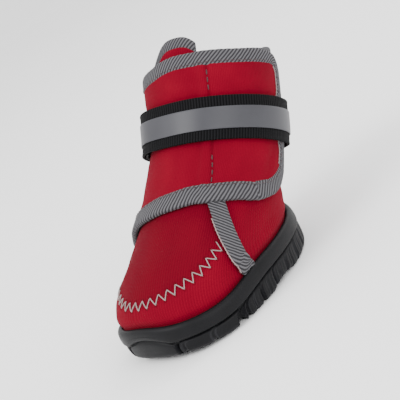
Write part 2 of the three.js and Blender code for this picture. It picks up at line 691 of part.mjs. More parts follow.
function flapTape(spare) {
  const path = flapTapePath();
  const widths = { low: LOWER_TAPE, end: END_TAPE, top: TOP_TAPE };
  const raw = path.map((spot) => widths[spot.kind]);
  const width = (k) => {
    const window = raw.slice(Math.max(0, k - 2), k + 3);
    return Math.min(raw[k], window.reduce((sum, w) => sum + w, 0) / window.length) + 2 * spare;
  };
  return tapeAlong(
    path, width, (theta, v) => flapInner(theta, v) - 2 * spare,
    (theta, v) => flapOuter(theta, v) + TAPE_PROUD + 2 * spare,
  );
}
// Lateral quarter tape: from under the flap down the step's edge to the rim
const QUARTER_TAPE_THICKNESS = 1.1;
const QUARTER_TAPE_TOP = 13.6;
function quarterTape() {
  const path = steps(QUARTER_TAPE_TOP, -1.6, 10).map((v) => ({ theta: quarterEdge(v) + 2, v }));
  return tapeAlong(
    path, QUARTER_TAPE, (theta, v) => coverStep(theta, v) + LAYER_GAP,
    (theta, v) => coverStep(theta, v) + LAYER_GAP + QUARTER_TAPE_THICKNESS,
  );
}

// Strap: one long turn of webbing. phi counts back from its sewn end, so -360 is one full turn.
const STRAP_START = -25;
const STRAP_END = -435;
const STRAP_STEP = 5;
const strapSeat = (phi) => column(STRAP_SEAT, "phi", "off", phi);
function strapBand(from, to, width, low, high) {
  const sections = steps(from, to, (from - to) / STRAP_STEP).map((phi) => {
    const theta = wrapAngle(phi);
    const edges = [-width / 2, width / 2].map((a) => levelV(theta, STRAP_LEVEL + a));
    return [
      offsetPoint(theta, edges[1], low(phi)), offsetPoint(theta, edges[0], low(phi)),
      offsetPoint(theta, edges[0], high(phi)), offsetPoint(theta, edges[1], high(phi)),
    ];
  });
  return sectionSweep(sections);
}
const strap = () => strapBand(
  STRAP_START, STRAP_END, STRAP_WIDTH, strapSeat, (phi) => strapSeat(phi) + STRAP_THICKNESS,
);
const tapeLow = (phi) => strapSeat(phi) + STRAP_THICKNESS + FIT_GAP + 0.1;
const REFLECTOR_START = -185;
const reflectiveTape = () => strapBand(
  REFLECTOR_START, STRAP_END + STRAP_STEP, TAPE_WIDTH, tapeLow, (phi) => tapeLow(phi) + TAPE_THICKNESS,
);

// Booleans on closed solids
const wasm = await Module();
wasm.setup();
function toManifold(geometry) {
  return new wasm.Manifold(new wasm.Mesh({
    numProp: 3,
    vertProperties: new Float32Array(geometry.getAttribute("position").array),
    triVerts: new Uint32Array(geometry.getIndex().array),
  }));
}
function fromManifold(solid) {
  const mesh = solid.getMesh();
  const geometry = new THREE.BufferGeometry();
  geometry.setAttribute("position", new THREE.BufferAttribute(new Float32Array(mesh.vertProperties), 3));
  geometry.setIndex(Array.from(mesh.triVerts));
  return geometry;
}
const cutOut = (blank, ...cutters) => fromManifold(
  cutters.reduce((solid, cutter) => solid.subtract(toManifold(cutter)), toManifold(blank)),
);
const upper = () => cutOut(upperShell(0), throatCutter());
const wrapFlap = () => cutOut(flapPanel(), flapTape(FIT_GAP), upperShell(FIT_GAP));
const flapBinding = () => cutOut(flapTape(0), upperShell(FIT_GAP));
const quarterBinding = () => cutOut(quarterTape(), upperShell(FIT_GAP));

// Materials
const finish = (color, roughness) => new THREE.MeshStandardMaterial({ color, roughness, metalness: 0 });
const rubber = finish(0x2b2b2f, 0.6);
const neoprene = finish(0xc01b28, 0.85);
const board = finish(0x222224, 0.9);
const twill = finish(0x7d7c80, 0.8);
const webbing = finish(0x17181b, 0.75);
const reflector = finish(0x77777d, 0.4);

const bootie = new THREE.Group();
bootie.name = "dog_bootie";
const PIECES = [
  ["outsole", outsole, rubber],
  ["insole", insole, board],
  ["upper", upper, neoprene],
  ["tongue", tongue, neoprene],
  ["tongue_binding", tongueBinding, twill],
  ["collar_binding", collarBinding, twill],
  ["wrap_flap", wrapFlap, neoprene],
  ["flap_binding", flapBinding, twill],
  ["quarter_binding", quarterBinding, twill],
  ["strap", strap, webbing],
  ["reflective_tape", reflectiveTape, reflector],
];
PIECES.forEach(([name, build, material]) => {
  const geometry = build();
  geometry.computeVertexNormals();
  const mesh = new THREE.Mesh(geometry, material);
  mesh.name = name;
  bootie.add(mesh);
});

// Moves the origin to the floor under the middle of the bounding box.
const whole = new THREE.Box3().setFromObject(bootie);
const middle = whole.getCenter(new THREE.Vector3());
bootie.children.forEach((mesh) => mesh.geometry.translate(-middle.x, -middle.y, -whole.min.z));

export default bootie;
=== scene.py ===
# %% [markdown]
# # A dog bootie for the left paw
# The real bootie is a moulded rubber cup with a sewn upper of red foam-backed fabric. A flap wraps
# round the shaft, grey twill tape binds every edge, and black webbing with a reflective stripe holds
# it shut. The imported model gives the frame, so each piece here is laid where its solid already is.

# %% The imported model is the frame
import math

import bpy
import numpy as np
from mathutils import Matrix, Vector


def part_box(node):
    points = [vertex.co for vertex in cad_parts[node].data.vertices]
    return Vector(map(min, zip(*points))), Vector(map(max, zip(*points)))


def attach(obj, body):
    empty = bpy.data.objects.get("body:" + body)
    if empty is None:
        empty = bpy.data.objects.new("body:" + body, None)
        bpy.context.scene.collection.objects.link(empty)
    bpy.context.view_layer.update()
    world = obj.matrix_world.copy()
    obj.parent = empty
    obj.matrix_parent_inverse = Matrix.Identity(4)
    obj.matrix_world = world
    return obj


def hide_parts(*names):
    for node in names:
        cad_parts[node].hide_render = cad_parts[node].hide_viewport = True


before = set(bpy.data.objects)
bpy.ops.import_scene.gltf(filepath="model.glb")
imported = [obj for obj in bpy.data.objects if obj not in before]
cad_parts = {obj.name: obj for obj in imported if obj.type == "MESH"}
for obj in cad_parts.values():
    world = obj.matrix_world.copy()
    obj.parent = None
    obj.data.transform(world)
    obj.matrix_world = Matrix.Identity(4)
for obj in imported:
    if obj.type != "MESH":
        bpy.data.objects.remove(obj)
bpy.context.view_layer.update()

MM = 0.001
print("frame nodes:", sorted(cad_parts))

# %% [markdown]
# The shapes are drawn in millimetres about the middle of the sole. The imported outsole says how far
# that middle lies from the frame's origin, so one shift puts every piece in the shared frame.

# %% Shift from the drawing to the frame
SOLE_LOW, SOLE_HIGH = (np.array(corner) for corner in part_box("outsole"))
MOVE = (SOLE_LOW + SOLE_HIGH) / 2 * np.array([1.0, 1.0, 0.0])


def in_frame(points):
    """Millimetres of the drawing to metres of the frame."""
    return np.asarray(points) * MM + MOVE


print("the sole's middle is at", [round(float(x), 5) for x in MOVE])

# %% [markdown]
# Curves through a few measured rows are easier to shape than long formulas. This reader gives a
# smooth curve that never swings past its rows, which keeps a soft form free of ripples.

# %% Curves through tables


def smooth(start, end, x):
    t = np.clip((np.asarray(x, float) - start) / (end - start), 0, 1)
    return t * t * (3 - 2 * t)


def mix(a, b, t):
    return a + (b - a) * t


def run_along(line):
    """The distance run at each point of a line."""
    return np.concatenate([[0], np.cumsum(np.linalg.norm(np.diff(line, axis=0), axis=1))])


def unit(vectors):
    return vectors / np.linalg.norm(vectors, axis=-1, keepdims=True)


def signed_power(x, power):
    return np.sign(x) * np.abs(x) ** power


def table(keys, values, x):
    """A smooth curve through the rows (keys, values), read at x."""
    keys = np.asarray(keys, float)
    values = np.asarray(values, float)
    x = np.clip(np.asarray(x, float), keys[0], keys[-1])
    rise = np.diff(values) / np.diff(keys)
    slope = np.empty_like(values)
    slope[0] = rise[0]
    slope[-1] = rise[-1]
    product = rise[:-1] * rise[1:]
    total = np.where(product > 0, rise[:-1] + rise[1:], 1)
    slope[1:-1] = np.where(product > 0, 2 * product / total, 0)
    i = np.clip(np.searchsorted(keys, x, side="right") - 1, 0, len(keys) - 2)
    h = keys[i + 1] - keys[i]
    t = (x - keys[i]) / h
    t2 = t * t
    t3 = t2 * t
    return ((2 * t3 - 3 * t2 + 1) * values[i] + (t3 - 2 * t2 + t) * h * slope[i]
            + (3 * t2 - 2 * t3) * values[i + 1] + (t3 - t2) * h * slope[i + 1])


# %% [markdown]
# A shoemaker works on a last, the solid foot form that a shoe is pulled over. Here the last is a
# function: an angle round the shoe and a height up its back give a point on the bare upper. Every
# soft piece is then an offset from that one surface, so nothing floats and nothing cuts through.

# %% The sole's heights and outline
SOLE_LENGTH = 104.0
SOLE_WIDTH = 73.0
BALL_FROM_TOE = 0.45
RIM_HEIGHT = 14.0
FLOOR_HEIGHT = 6.0
RIM_WALL = 3.3
FIT_GAP = 0.3
NEOPRENE = 2.6
TOE_SPRING = 3.0
TOE_BEND = 18.0
HEEL_SPRING = 2.5
HEEL_BEND = 36.0
SIDE_RISE = 3.2


def lift(y):
    toe = np.clip((-TOE_BEND - y) / (SOLE_LENGTH / 2 - TOE_BEND), 0, 1)
    heel = np.clip((y - HEEL_BEND) / (SOLE_LENGTH / 2 - HEEL_BEND), 0, 1)
    return TOE_SPRING * toe ** 1.8 + HEEL_SPRING * heel ** 2


def arch(y):
    return 1.6 * smooth(-4, 6, y) * (1 - smooth(10, 20, y))


def side_rise(y):
    """The rubber stands higher along the sides and heel than at the toe."""
    return SIDE_RISE * smooth(-34, 2, y)


def rim_top(x, y):
    bump = 2 * np.exp(-(x / 17) ** 2) * smooth(10, 40, -y)
    return RIM_HEIGHT + lift(y) + bump + side_rise(y)


def outline(theta, inset):
    """The sole's edge at an angle, 0 at the toe and +90 at the outer side, drawn in by an inset."""
    c = np.cos(np.radians(theta))
    s = np.sin(np.radians(theta))
    power = np.where(c >= 0, 2.6, 2.2)
    reach = SOLE_LENGTH * np.where(c >= 0, BALL_FROM_TOE, 1 - BALL_FROM_TOE) - inset
    ball = -SOLE_LENGTH / 2 + SOLE_LENGTH * BALL_FROM_TOE
    return (SOLE_WIDTH / 2 - inset) * signed_power(s, 2 / power), ball - reach * signed_power(c, 2 / power)


# %% The last: sections up the foot and shaft
SECTION_V = (0, 2.2, 4.4, 7, 10, 13, 16.2, 19.6, 23.4, 27.4, 31.6, 36, 58, 84)
SECTION = {
    "front_y": (-48.4, -49.2, -47.5, -42.3, -34.5, -25.6, -15.7, -6.1, 3.4, 11.3, 17.6, 22.2, 34.2, 48.3),
    "front_z": (19.0, 22.6, 26.5, 30.9, 35.8, 41.0, 46.8, 52.9, 59.3, 66.2, 73.4, 80.0, 98.4, 120.3),
    "rear_y": (48.4, 48.8, 49.6, 51.1, 53.0, 55.0, 57.4, 59.8, 62.5, 65.2, 67.6, 70.0, 82.0, 96.1),
    "rear_z": (19.0, 21.1, 23.1, 25.4, 27.9, 30.4, 33.0, 35.7, 38.7, 41.9, 45.3, 49.0, 67.5, 89.3),
    "half": (32.9, 33.6, 33.8, 33.4, 32.4, 31.2, 29.9, 28.8, 28.0, 27.6, 27.5, 27.6, 28.1, 28.6),
    "widest": (0.45, 0.45, 0.45, 0.455, 0.46, 0.47, 0.48, 0.485, 0.49, 0.495, 0.5, 0.5, 0.5, 0.5),
    "toe": (2.6, 2.5, 2.35, 2.15, 2.0, 1.95, 1.95, 1.95, 2.0, 2.0, 2.0, 2.0, 2.0, 2.0),
    "heel": (2.2, 2.2, 2.2, 2.2, 2.15, 2.15, 2.1, 2.1, 2.05, 2.0, 2.0, 2.0, 2.0, 2.0),
}
SHAFT_SWAY = 1.5


def ring_point(theta, v):
    at = {name: table(SECTION_V, values, v) for name, values in SECTION.items()}
    c = np.cos(np.radians(theta))
    s = np.sin(np.radians(theta))
    power = np.where(c >= 0, at["toe"], at["heel"])
    reach = np.abs(c) ** (2 / power)
    along = at["widest"] + np.where(c >= 0, -at["widest"] * reach, (1 - at["widest"]) * reach)
    return (at["half"] * signed_power(s, 2 / power),
            mix(at["front_y"], at["rear_y"], along), mix(at["front_z"], at["rear_z"], along))


def last(theta, v):
    """A point on the bare upper. Below v = 0 the wall goes straight down inside the rubber rim."""
    theta, v = np.broadcast_arrays(np.asarray(theta, float), np.asarray(v, float))
    seat_x, seat_y, seat_z = ring_point(theta, np.zeros_like(v))
    rim = rim_top(seat_x, seat_y)
    x, y, z = ring_point(theta, np.maximum(v, 0))
    x = x + SHAFT_SWAY * smooth(4, 40, v)
    z = z + (rim - seat_z) * (1 - smooth(0, 12, v))
    down = mix(lift(seat_y) + FLOOR_HEIGHT + FIT_GAP, rim, np.clip(1 + v, 0, 1))
    below = v <= 0
    return np.stack([np.where(below, seat_x, x), np.where(below, seat_y, y), np.where(below, down, z)], -1)


def last_frame(theta, v):
    """The point, the steps per degree and per v, and the outward normal."""
    theta, v = np.broadcast_arrays(np.asarray(theta, float), np.asarray(v, float))
    low = np.where(v <= 0, np.maximum(-1, v - 0.06), v)
    high = np.where(v <= 0, np.minimum(0, v + 0.06), v + 0.06)
    per_degree = (last(theta + 0.4, v) - last(theta - 0.4, v)) / 0.8
    per_v = (last(theta, high) - last(theta, low)) / (high - low)[..., None]
    return last(theta, v), per_degree, per_v, unit(np.cross(per_degree, per_v))


def off_last(theta, v, off):
    point, _, _, normal = last_frame(theta, v)
    return point + normal * np.asarray(off, float)[..., None]


print("ring at the collar's back:", np.round(last(180.0, 73.0), 1))

# %% Edges that are read off the photograph, by angle round the shoe
COLLAR = ((-180, -150, -120, -90, -45, 0, 45, 90, 120, 150, 180),
          (73, 70, 63.5, 59.5, 60.5, 62, 64, 66, 68, 72, 73))
FLAP_TOP = ((-150, -120, -90, -45, -10, 5, 20, 66, 94, 122),
            (63.5, 61.5, 61, 60.5, 61.8, 63.4, 64.2, 64.2, 64.8, 64.8))
FLAP_LOW = ((-150, -110, -81, -66, -51, -31, -10, 12, 30, 49, 67, 95, 122),
            (-16, -2, 8.2, 11.4, 13.9, 16.1, 17.4, 18.1, 18.2, 17.2, 15.9, 13, 10.4))
STRAP_SEAT = ((-440, -425, -385, -352, -338, -320, -300, -268, -230, -212, -185, -150, -120, -25),
              (5.6, 5.4, 5.3, 3.7, 4.0, 4.6, 4.6, 5.0, 5.3, 3.4, 2.2, 2.4, 3.5, 3.55))


def wrap_angle(theta):
    return (np.asarray(theta, float) + 180) % 360 - 180


QUARTER_FOOT = 91
QUARTER_SLOPE = 2.2
QUARTER_LEAN_TOP = 22


def quarter_edge(v):
    return QUARTER_FOOT - QUARTER_SLOPE * np.minimum(v, QUARTER_LEAN_TOP)


SHAFT_LEAN = math.radians(33)
SHAFT_AXIS = np.array([0.0, math.sin(SHAFT_LEAN), math.cos(SHAFT_LEAN)])
HEEL_RIM = np.array([0.0, 48.4, 19.0])


def level_v(theta, height):
    """The v at which the last reaches a height along the shaft."""
    low = np.full(np.broadcast(theta, height).shape, 0.5)
    high = np.full_like(low, 84.0)
    for _ in range(30):
        middle = (low + high) / 2
        under = (last(theta, middle) - HEEL_RIM) @ SHAFT_AXIS < height
        low = np.where(under, middle, low)
        high = np.where(under, high, middle)
    return (low + high) / 2


# %% [markdown]
# Each sewn piece starts as a grid, like cloth cut flat, and is then laid on the last. Operators act
# on everything that is selected, so each helper deselects first. The grid's UV map is set in
# millimetres, so that a weave keeps its true scale however the piece is bent.

# %% Helpers that lay a flat grid on the last


def clear_selection():
    if bpy.context.mode != "OBJECT":
        bpy.ops.object.mode_set(mode="OBJECT")
    bpy.ops.object.select_all(action="DESELECT")


def select_only(*objects):
    clear_selection()
    for obj in objects:
        obj.select_set(True)
    bpy.context.view_layer.objects.active = objects[0]


def laid_grid(name, columns, rows, place, uv):
    """A grid primitive whose column i and row j are laid at place(columns[i], rows[j])."""
    columns = np.asarray(columns, float)
    rows = np.asarray(rows, float)
    clear_selection()
    bpy.ops.mesh.primitive_grid_add(x_subdivisions=len(columns) - 1, y_subdivisions=len(rows) - 1, size=2)
    obj = bpy.context.active_object
    obj.name = name
    obj.data.name = name
    mesh = obj.data
    co = np.empty(len(mesh.vertices) * 3)
    mesh.vertices.foreach_get("co", co)
    co = co.reshape(-1, 3)
    i = np.rint((co[:, 0] + 1) / 2 * (len(columns) - 1)).astype(int)
    j = np.rint((co[:, 1] + 1) / 2 * (len(rows) - 1)).astype(int)
    s = columns[i]
    t = rows[j]
    mesh.vertices.foreach_set("co", in_frame(place(s, t)).ravel())
    flat = np.stack(uv(s, t), -1)
    corner = np.empty(len(mesh.loops), dtype=np.int32)
    mesh.loops.foreach_get("vertex_index", corner)
    layer = mesh.uv_layers.active or mesh.uv_layers.new(name="UVMap")
    layer.data.foreach_set("uv", flat[corner].ravel())
    mesh.update()
    return obj, s, t


def edit(obj, select_mode="VERT"):
    select_only(obj)
    bpy.ops.object.mode_set(mode="EDIT")
    bpy.ops.mesh.select_mode(type=select_mode)
    bpy.ops.mesh.select_all(action="DESELECT")


def change_all(obj, operator, **settings):
    """Runs one mesh operator on the whole of a piece."""
    edit(obj)
    bpy.ops.mesh.select_all(action="SELECT")
    operator(**settings)
    bpy.ops.object.mode_set(mode="OBJECT")


def weld(obj, distance=0.005):
    change_all(obj, bpy.ops.mesh.remove_doubles, threshold=distance * MM)


def turn_outward(obj):
    change_all(obj, bpy.ops.mesh.normals_make_consistent, inside=False)


def close_tube(obj):
    """Welds a grid that was laid round into a tube, and caps its open ends."""
    weld(obj)
    change_all(obj, bpy.ops.mesh.fill_holes, sides=0)
    turn_outward(obj)


def apply_modifier(obj, kind, **settings):
    select_only(obj)
    bpy.ops.object.modifier_add(type=kind)
    modifier = obj.modifiers[-1]
    for key, value in settings.items():
        setattr(modifier, key, value)
    bpy.ops.object.modifier_apply(modifier=modifier.name)


def give_wall(obj, thickness, **settings):
    apply_modifier(obj, "SOLIDIFY", thickness=thickness * MM, offset=-1, **settings)


def soften_edges(obj, width):
    """A small bevel on every edge sharper than a fold of the cloth."""
    apply_modifier(
        obj, "BEVEL", width=width * MM, segments=2, limit_method="ANGLE", angle_limit=math.radians(50),
    )


def shade(obj, degrees=40):
    select_only(obj)
    bpy.ops.object.shade_smooth_by_angle(angle=math.radians(degrees))


def give_weight(obj, name, weights):
    group = obj.vertex_groups.new(name=name)
    for index, weight in enumerate(weights):
        group.add([index], float(weight), "REPLACE")
    return group.name


def give_value(obj, name, values):
    """Stores one number per vertex, for a material to read."""
    layer = obj.data.attributes.new(name=name, type="FLOAT", domain="POINT")
    layer.data.foreach_set("value", np.asarray(values, np.float32))


def report(obj):
    obj.data.calc_loop_triangles()
    print(f"{obj.name}: {len(obj.data.loop_triangles)} triangles")


# %% [markdown]
# Materials are built from nodes and named for the finish they give. A small helper keeps each
# recipe short: it makes the shader, and wires a bump from any pattern. Patterns on cloth read the
# piece's own UV map in millimetres, and patterns on moulded rubber read Object coordinates.

# %% Node helpers
MILLIMETRES = 1000.0


class Recipe:
    """One material under construction."""

    def __init__(self, name, roughness, sheen=0.0, specular=0.5):
        self.material = bpy.data.materials.new(name)
        self.material.use_nodes = True
        self.tree = self.material.node_tree
        self.shader = self.tree.nodes["Principled BSDF"]
        self.shader.inputs["Roughness"].default_value = roughness
        self.shader.inputs["Specular IOR Level"].default_value = specular
        self.shader.inputs["Sheen Weight"].default_value = sheen
        self.shader.inputs["Sheen Roughness"].default_value = 0.45

    def node(self, kind, **settings):
        made = self.tree.nodes.new(kind)
        for key, value in settings.items():
            setattr(made, key, value)
        return made

    def link(self, start, end):
        self.tree.links.new(start, end)

    def feed(self, value, socket):
        """Puts a number, a colour or another node's output into a socket."""
        if isinstance(value, (int, float)):
            socket.default_value = value
        elif isinstance(value, tuple):
            socket.default_value = (*value, 1)
        else:
            self.link(value, socket)

    def coordinates(self, source="UV", scale=(1, 1, 1), turn=0.0):
        """Texture space in millimetres, stretched by scale and turned about Z."""
        texture = self.node("ShaderNodeTexCoord")
        mapping = self.node("ShaderNodeMapping")
        mapping.inputs["Scale"].default_value = scale
        mapping.inputs["Rotation"].default_value = (0, 0, math.radians(turn))
        self.link(texture.outputs[source], mapping.inputs["Vector"])
        return mapping.outputs["Vector"]

    def wave(self, vector, pitch, distortion=0.0, detail=0.0, direction="X"):
        made = self.node("ShaderNodeTexWave", wave_type="BANDS", bands_direction=direction)
        made.inputs["Scale"].default_value = math.tau / (20 * pitch)
        made.inputs["Distortion"].default_value = distortion
        made.inputs["Detail"].default_value = detail
        self.link(vector, made.inputs["Vector"])
        return made.outputs["Fac"]

    def noise(self, vector, pitch, detail=3.0, roughness=0.55):
        made = self.node("ShaderNodeTexNoise")
        made.inputs["Scale"].default_value = 1 / pitch
        made.inputs["Detail"].default_value = detail
        made.inputs["Roughness"].default_value = roughness
        self.link(vector, made.inputs["Vector"])
        return made.outputs["Fac"]

    def ramp(self, factor, stops):
        made = self.node("ShaderNodeValToRGB")
        elements = made.color_ramp.elements
        while len(elements) < len(stops):
            elements.new(0.5)
        for element, (position, color) in zip(elements, stops):
            element.position = position
            element.color = (*color, 1)
        self.link(factor, made.inputs["Fac"])
        return made.outputs["Color"]

    def blend(self, factor, first, second):
        made = self.node("ShaderNodeMix", data_type="RGBA", blend_type="MIX")
        for value, index in ((factor, 0), (first, 6), (second, 7)):
            self.feed(value, made.inputs[index])
        return made.outputs[2]

    def maths(self, operation, first, second):
        made = self.node("ShaderNodeMath", operation=operation)
        self.feed(first, made.inputs[0])
        self.feed(second, made.inputs[1])
        return made.outputs["Value"]

    def remap(self, value, low, high):
        made = self.node("ShaderNodeMapRange")
        made.inputs["To Min"].default_value = low
        made.inputs["To Max"].default_value = high
        self.link(value, made.inputs["Value"])
        return made.outputs["Result"]

    def attribute(self, name):
        made = self.node("ShaderNodeAttribute", attribute_name=name)
        return made.outputs["Fac"]

    def bump(self, height, depth, below=None):
        made = self.node("ShaderNodeBump")
        made.inputs["Strength"].default_value = 1.0
        made.inputs["Distance"].default_value = depth * MM
        self.link(height, made.inputs["Height"])
        if below is not None:
            self.link(below, made.inputs["Normal"])
        return made.outputs["Normal"]

    def finish(self, color=None, normal=None, roughness=None):
        if color is not None:
            self.link(color, self.shader.inputs["Base Color"])
        if normal is not None:
            self.link(normal, self.shader.inputs["Normal"])
        if roughness is not None:
            self.link(roughness, self.shader.inputs["Roughness"])
        return self.material


def paint(obj, *materials):
    obj.data.materials.clear()
    for material in materials:
        obj.data.materials.append(material)


# %% [markdown]
# The red cloth is a fine ribbed knit on foam. Narrow ribs run up the shoe and a finer knit crosses
# them. Slow patches of colour keep it from looking printed.

# %% Red knit, black lining


def red_knit(name, rib_pitch, rib_depth, dark, light):
    recipe = Recipe(name, roughness=0.88, sheen=0.01, specular=0.05)
    cloth = recipe.coordinates()
    ribs = recipe.wave(cloth, rib_pitch, distortion=0.25, detail=1.0)
    courses = recipe.wave(cloth, rib_pitch * 0.62, direction="Y")
    knit = recipe.maths("MULTIPLY_ADD", courses, 0.35)
    recipe.link(ribs, knit.node.inputs[2])
    patches = recipe.noise(cloth, 22, detail=2.0)
    fuzz = recipe.noise(cloth, 0.7, detail=2.0)
    ground = recipe.ramp(patches, [(0.3, dark), (0.7, light)])
    shaded = recipe.blend(recipe.remap(ribs, 0.0, 0.22), ground, tuple(c * 0.35 for c in dark))
    toned = recipe.blend(recipe.remap(fuzz, 0.0, 0.16), shaded, tuple(min(1, c * 1.5) for c in light))
    return recipe, toned, recipe.bump(fuzz, 0.06, below=recipe.bump(knit, rib_depth))


SHADE_RED = (0.118, 0.0006, 0.0080)
BRIGHT_RED = (0.160, 0.0009, 0.0105)
vamp_recipe, vamp_color, vamp_normal = red_knit("ribbed red knit", 1.15, 0.10, SHADE_RED, BRIGHT_RED)
# The vamp above the zigzag seam is mixed toward a darker red: this is painted shade.
toe_shade = vamp_recipe.attribute("above_zigzag_painted_shade")
vamp_color = vamp_recipe.blend(vamp_recipe.remap(toe_shade, 0.0, 0.42), vamp_color, (0.060, 0.0008, 0.0045))
RIBBED_RED = vamp_recipe.finish(vamp_color, vamp_normal)

flap_recipe, flap_color, flap_normal = red_knit("fine red knit", 0.8, 0.05, SHADE_RED, BRIGHT_RED)
seam_shade = flap_recipe.attribute("seam_shade")
flap_color = flap_recipe.blend(flap_recipe.remap(seam_shade, 0.0, 0.5), flap_color, (0.05, 0.001, 0.003))
FINE_RED = flap_recipe.finish(flap_color, flap_normal)

lining_recipe = Recipe("black knitted lining", roughness=0.9, sheen=0.15, specular=0.15)
lining_space = lining_recipe.coordinates()
lining_rib = lining_recipe.wave(lining_space, 0.9, distortion=0.3)
lining_color = lining_recipe.ramp(lining_rib, [(0.2, (0.012, 0.012, 0.014)), (0.9, (0.030, 0.030, 0.034))])
LINING = lining_recipe.finish(lining_color, lining_recipe.bump(lining_rib, 0.08))
print("cloths:", RIBBED_RED.name, FINE_RED.name, LINING.name)

# %% [markdown]
# Twill tape has a slanted rib. The stripes follow the tape because they read its own UV map: U runs
# along the tape and V across it. Light and dark yarns alternate, so the colour follows the rib too.

# %% Grey twill tape
twill_recipe = Recipe("grey twill tape", roughness=0.85, sheen=0.04, specular=0.15)
twill_space = twill_recipe.coordinates(turn=-38)
twill_rib = twill_recipe.wave(twill_space, 1.25, distortion=0.35, detail=1.0)
twill_fleck = twill_recipe.noise(twill_recipe.coordinates(), 0.9, detail=2.0)
twill_color = twill_recipe.ramp(twill_rib, [
    (0.12, (0.015, 0.014, 0.016)), (0.5, (0.052, 0.050, 0.055)), (0.85, (0.108, 0.106, 0.113)),
])
twill_color = twill_recipe.blend(twill_recipe.remap(twill_fleck, 0.0, 0.3), twill_color, (0.04, 0.038, 0.043))
TWILL = twill_recipe.finish(
    twill_color, twill_recipe.bump(twill_fleck, 0.08, below=twill_recipe.bump(twill_rib, 0.22)),
)

# %% [markdown]
# The webbing is black with fine ribs across it. The reflective stripe is a smooth grey film with
# glass beads too small to see, so it gets a faint grain and a lower roughness.

# %% Webbing, reflective film and thread
web_recipe = Recipe("black ribbed webbing", roughness=0.75, sheen=0.0, specular=0.06)
web_space = web_recipe.coordinates()
web_rib = web_recipe.wave(web_space, 1.3, distortion=0.2)
web_line = web_recipe.wave(web_space, 1.6, direction="Y")
web_color = web_recipe.ramp(web_rib, [(0.1, (0.0010, 0.0010, 0.0012)), (0.9, (0.0070, 0.0070, 0.0078))])
WEBBING = web_recipe.finish(
    web_color, web_recipe.bump(web_line, 0.06, below=web_recipe.bump(web_rib, 0.18)),
)

film_recipe = Recipe("grey reflective film", roughness=0.42, specular=0.3)
film_space = film_recipe.coordinates()
film_grain = film_recipe.noise(film_space, 0.5, detail=1.0)
film_cloud = film_recipe.noise(film_space, 14, detail=3.0)
film_color = film_recipe.ramp(film_cloud, [(0.3, (0.028, 0.028, 0.033)), (0.7, (0.036, 0.036, 0.042))])
film_color = film_recipe.blend(film_recipe.remap(film_grain, 0.0, 0.2), film_color, (0.048, 0.048, 0.055))
REFLECTIVE = film_recipe.finish(
    film_color, film_recipe.bump(film_grain, 0.03), film_recipe.remap(film_cloud, 0.36, 0.5),
)


def thread(name, color, dark):
    recipe = Recipe(name, roughness=0.6, sheen=0.2, specular=0.3)
    twist = recipe.wave(recipe.coordinates(turn=30), 0.5)
    return recipe.finish(recipe.blend(recipe.remap(twist, 0.0, 0.6), color, dark), recipe.bump(twist, 0.05))


GREY_THREAD = thread("grey thread", (0.27, 0.21, 0.20), (0.13, 0.09, 0.09))
DARK_THREAD = thread("dark thread", (0.045, 0.020, 0.024), (0.012, 0.006, 0.008))

hole_recipe = Recipe("needle hole shadow", roughness=0.95, specular=0.05)
hole_grain = hole_recipe.noise(hole_recipe.coordinates("Object", (MILLIMETRES,) * 3), 0.4)
hole_color = hole_recipe.ramp(hole_grain, [(0.3, (0.010, 0.002, 0.003)), (0.8, (0.05, 0.004, 0.006))])
NEEDLE_HOLE = hole_recipe.finish(hole_color)

# %% [markdown]
# Moulded rubber is never one black. It has a fine mould grain, dull patches, and a paler bloom
# where edges have rubbed. The sole stores where its edges are, and this material reads that.

# %% Black moulded rubber
rubber_recipe = Recipe("black moulded rubber", roughness=0.5, specular=0.14)
rubber_space = rubber_recipe.coordinates("Object", (MILLIMETRES,) * 3)
rubber_grain = rubber_recipe.noise(rubber_space, 0.45, detail=3.0, roughness=0.7)
rubber_patch = rubber_recipe.noise(rubber_space, 9, detail=4.0)
rubber_color = rubber_recipe.ramp(
    rubber_patch, [(0.3, (0.0020, 0.0020, 0.0026)), (0.75, (0.0042, 0.0042, 0.0052))],
)
rubbed = rubber_recipe.maths(
    "MULTIPLY", rubber_recipe.attribute("rubbed"), rubber_recipe.remap(rubber_grain, 0.2, 1.0),
)
rubbed = rubber_recipe.maths("MULTIPLY", rubbed, 0.7)
rubber_color = rubber_recipe.blend(rubbed, rubber_color, (0.028, 0.028, 0.032))
RUBBER = rubber_recipe.finish(
    rubber_color,
    rubber_recipe.bump(rubber_patch, 0.12, below=rubber_recipe.bump(rubber_grain, 0.05)),
    rubber_recipe.remap(rubber_patch, 0.38, 0.62),
)
print("materials so far:", len(bpy.data.materials))

# %% [markdown]
# ## The rubber sole
# The real sole is one moulding: a smooth rim band, a groove under it, and leaning lugs that wrap
# down to the tread. A tube round the outline could be carved with booleans, but every lug edge
# would then need its own bevel. Instead one fine grid goes round the sole, and its rows follow the
# profile from the cup's floor to the tread, drawn in where a groove or a notch is cut.

# %% Distances round the sole's outline
TURN = np.linspace(0, 180, 721)
EDGE_X, EDGE_Y = outline(TURN, 0)
GIRTH = np.concatenate([[0], np.cumsum(np.hypot(np.diff(EDGE_X), np.diff(EDGE_Y)))])
HALF_GIRTH = GIRTH[-1]
LUG_SCALE = HALF_GIRTH / 138


def angle_at(s):
    return np.interp(s, GIRTH, TURN)


# Distances are from the toe along the outline. A notch has its start, end and depth.
TOE_PAD = 14.2
NOTCHES = ((TOE_PAD, 18.4, 3.2), (46.0, 51.5, 2.4))
# A row of lugs has its start, end, how many lugs and the depth of the slits between them.
SIDE_LUGS = (51.5, 115.0, 6, 1.5)
HEEL_LUGS = (115.0, 138.0, 3, 1.2)


def slot_shape(x, start, end, ease):
    return np.clip((x - start) / ease, 0, 1) * np.clip((end - x) / ease, 0, 1)


def soften(t):
    return t * t * (3 - 2 * t)


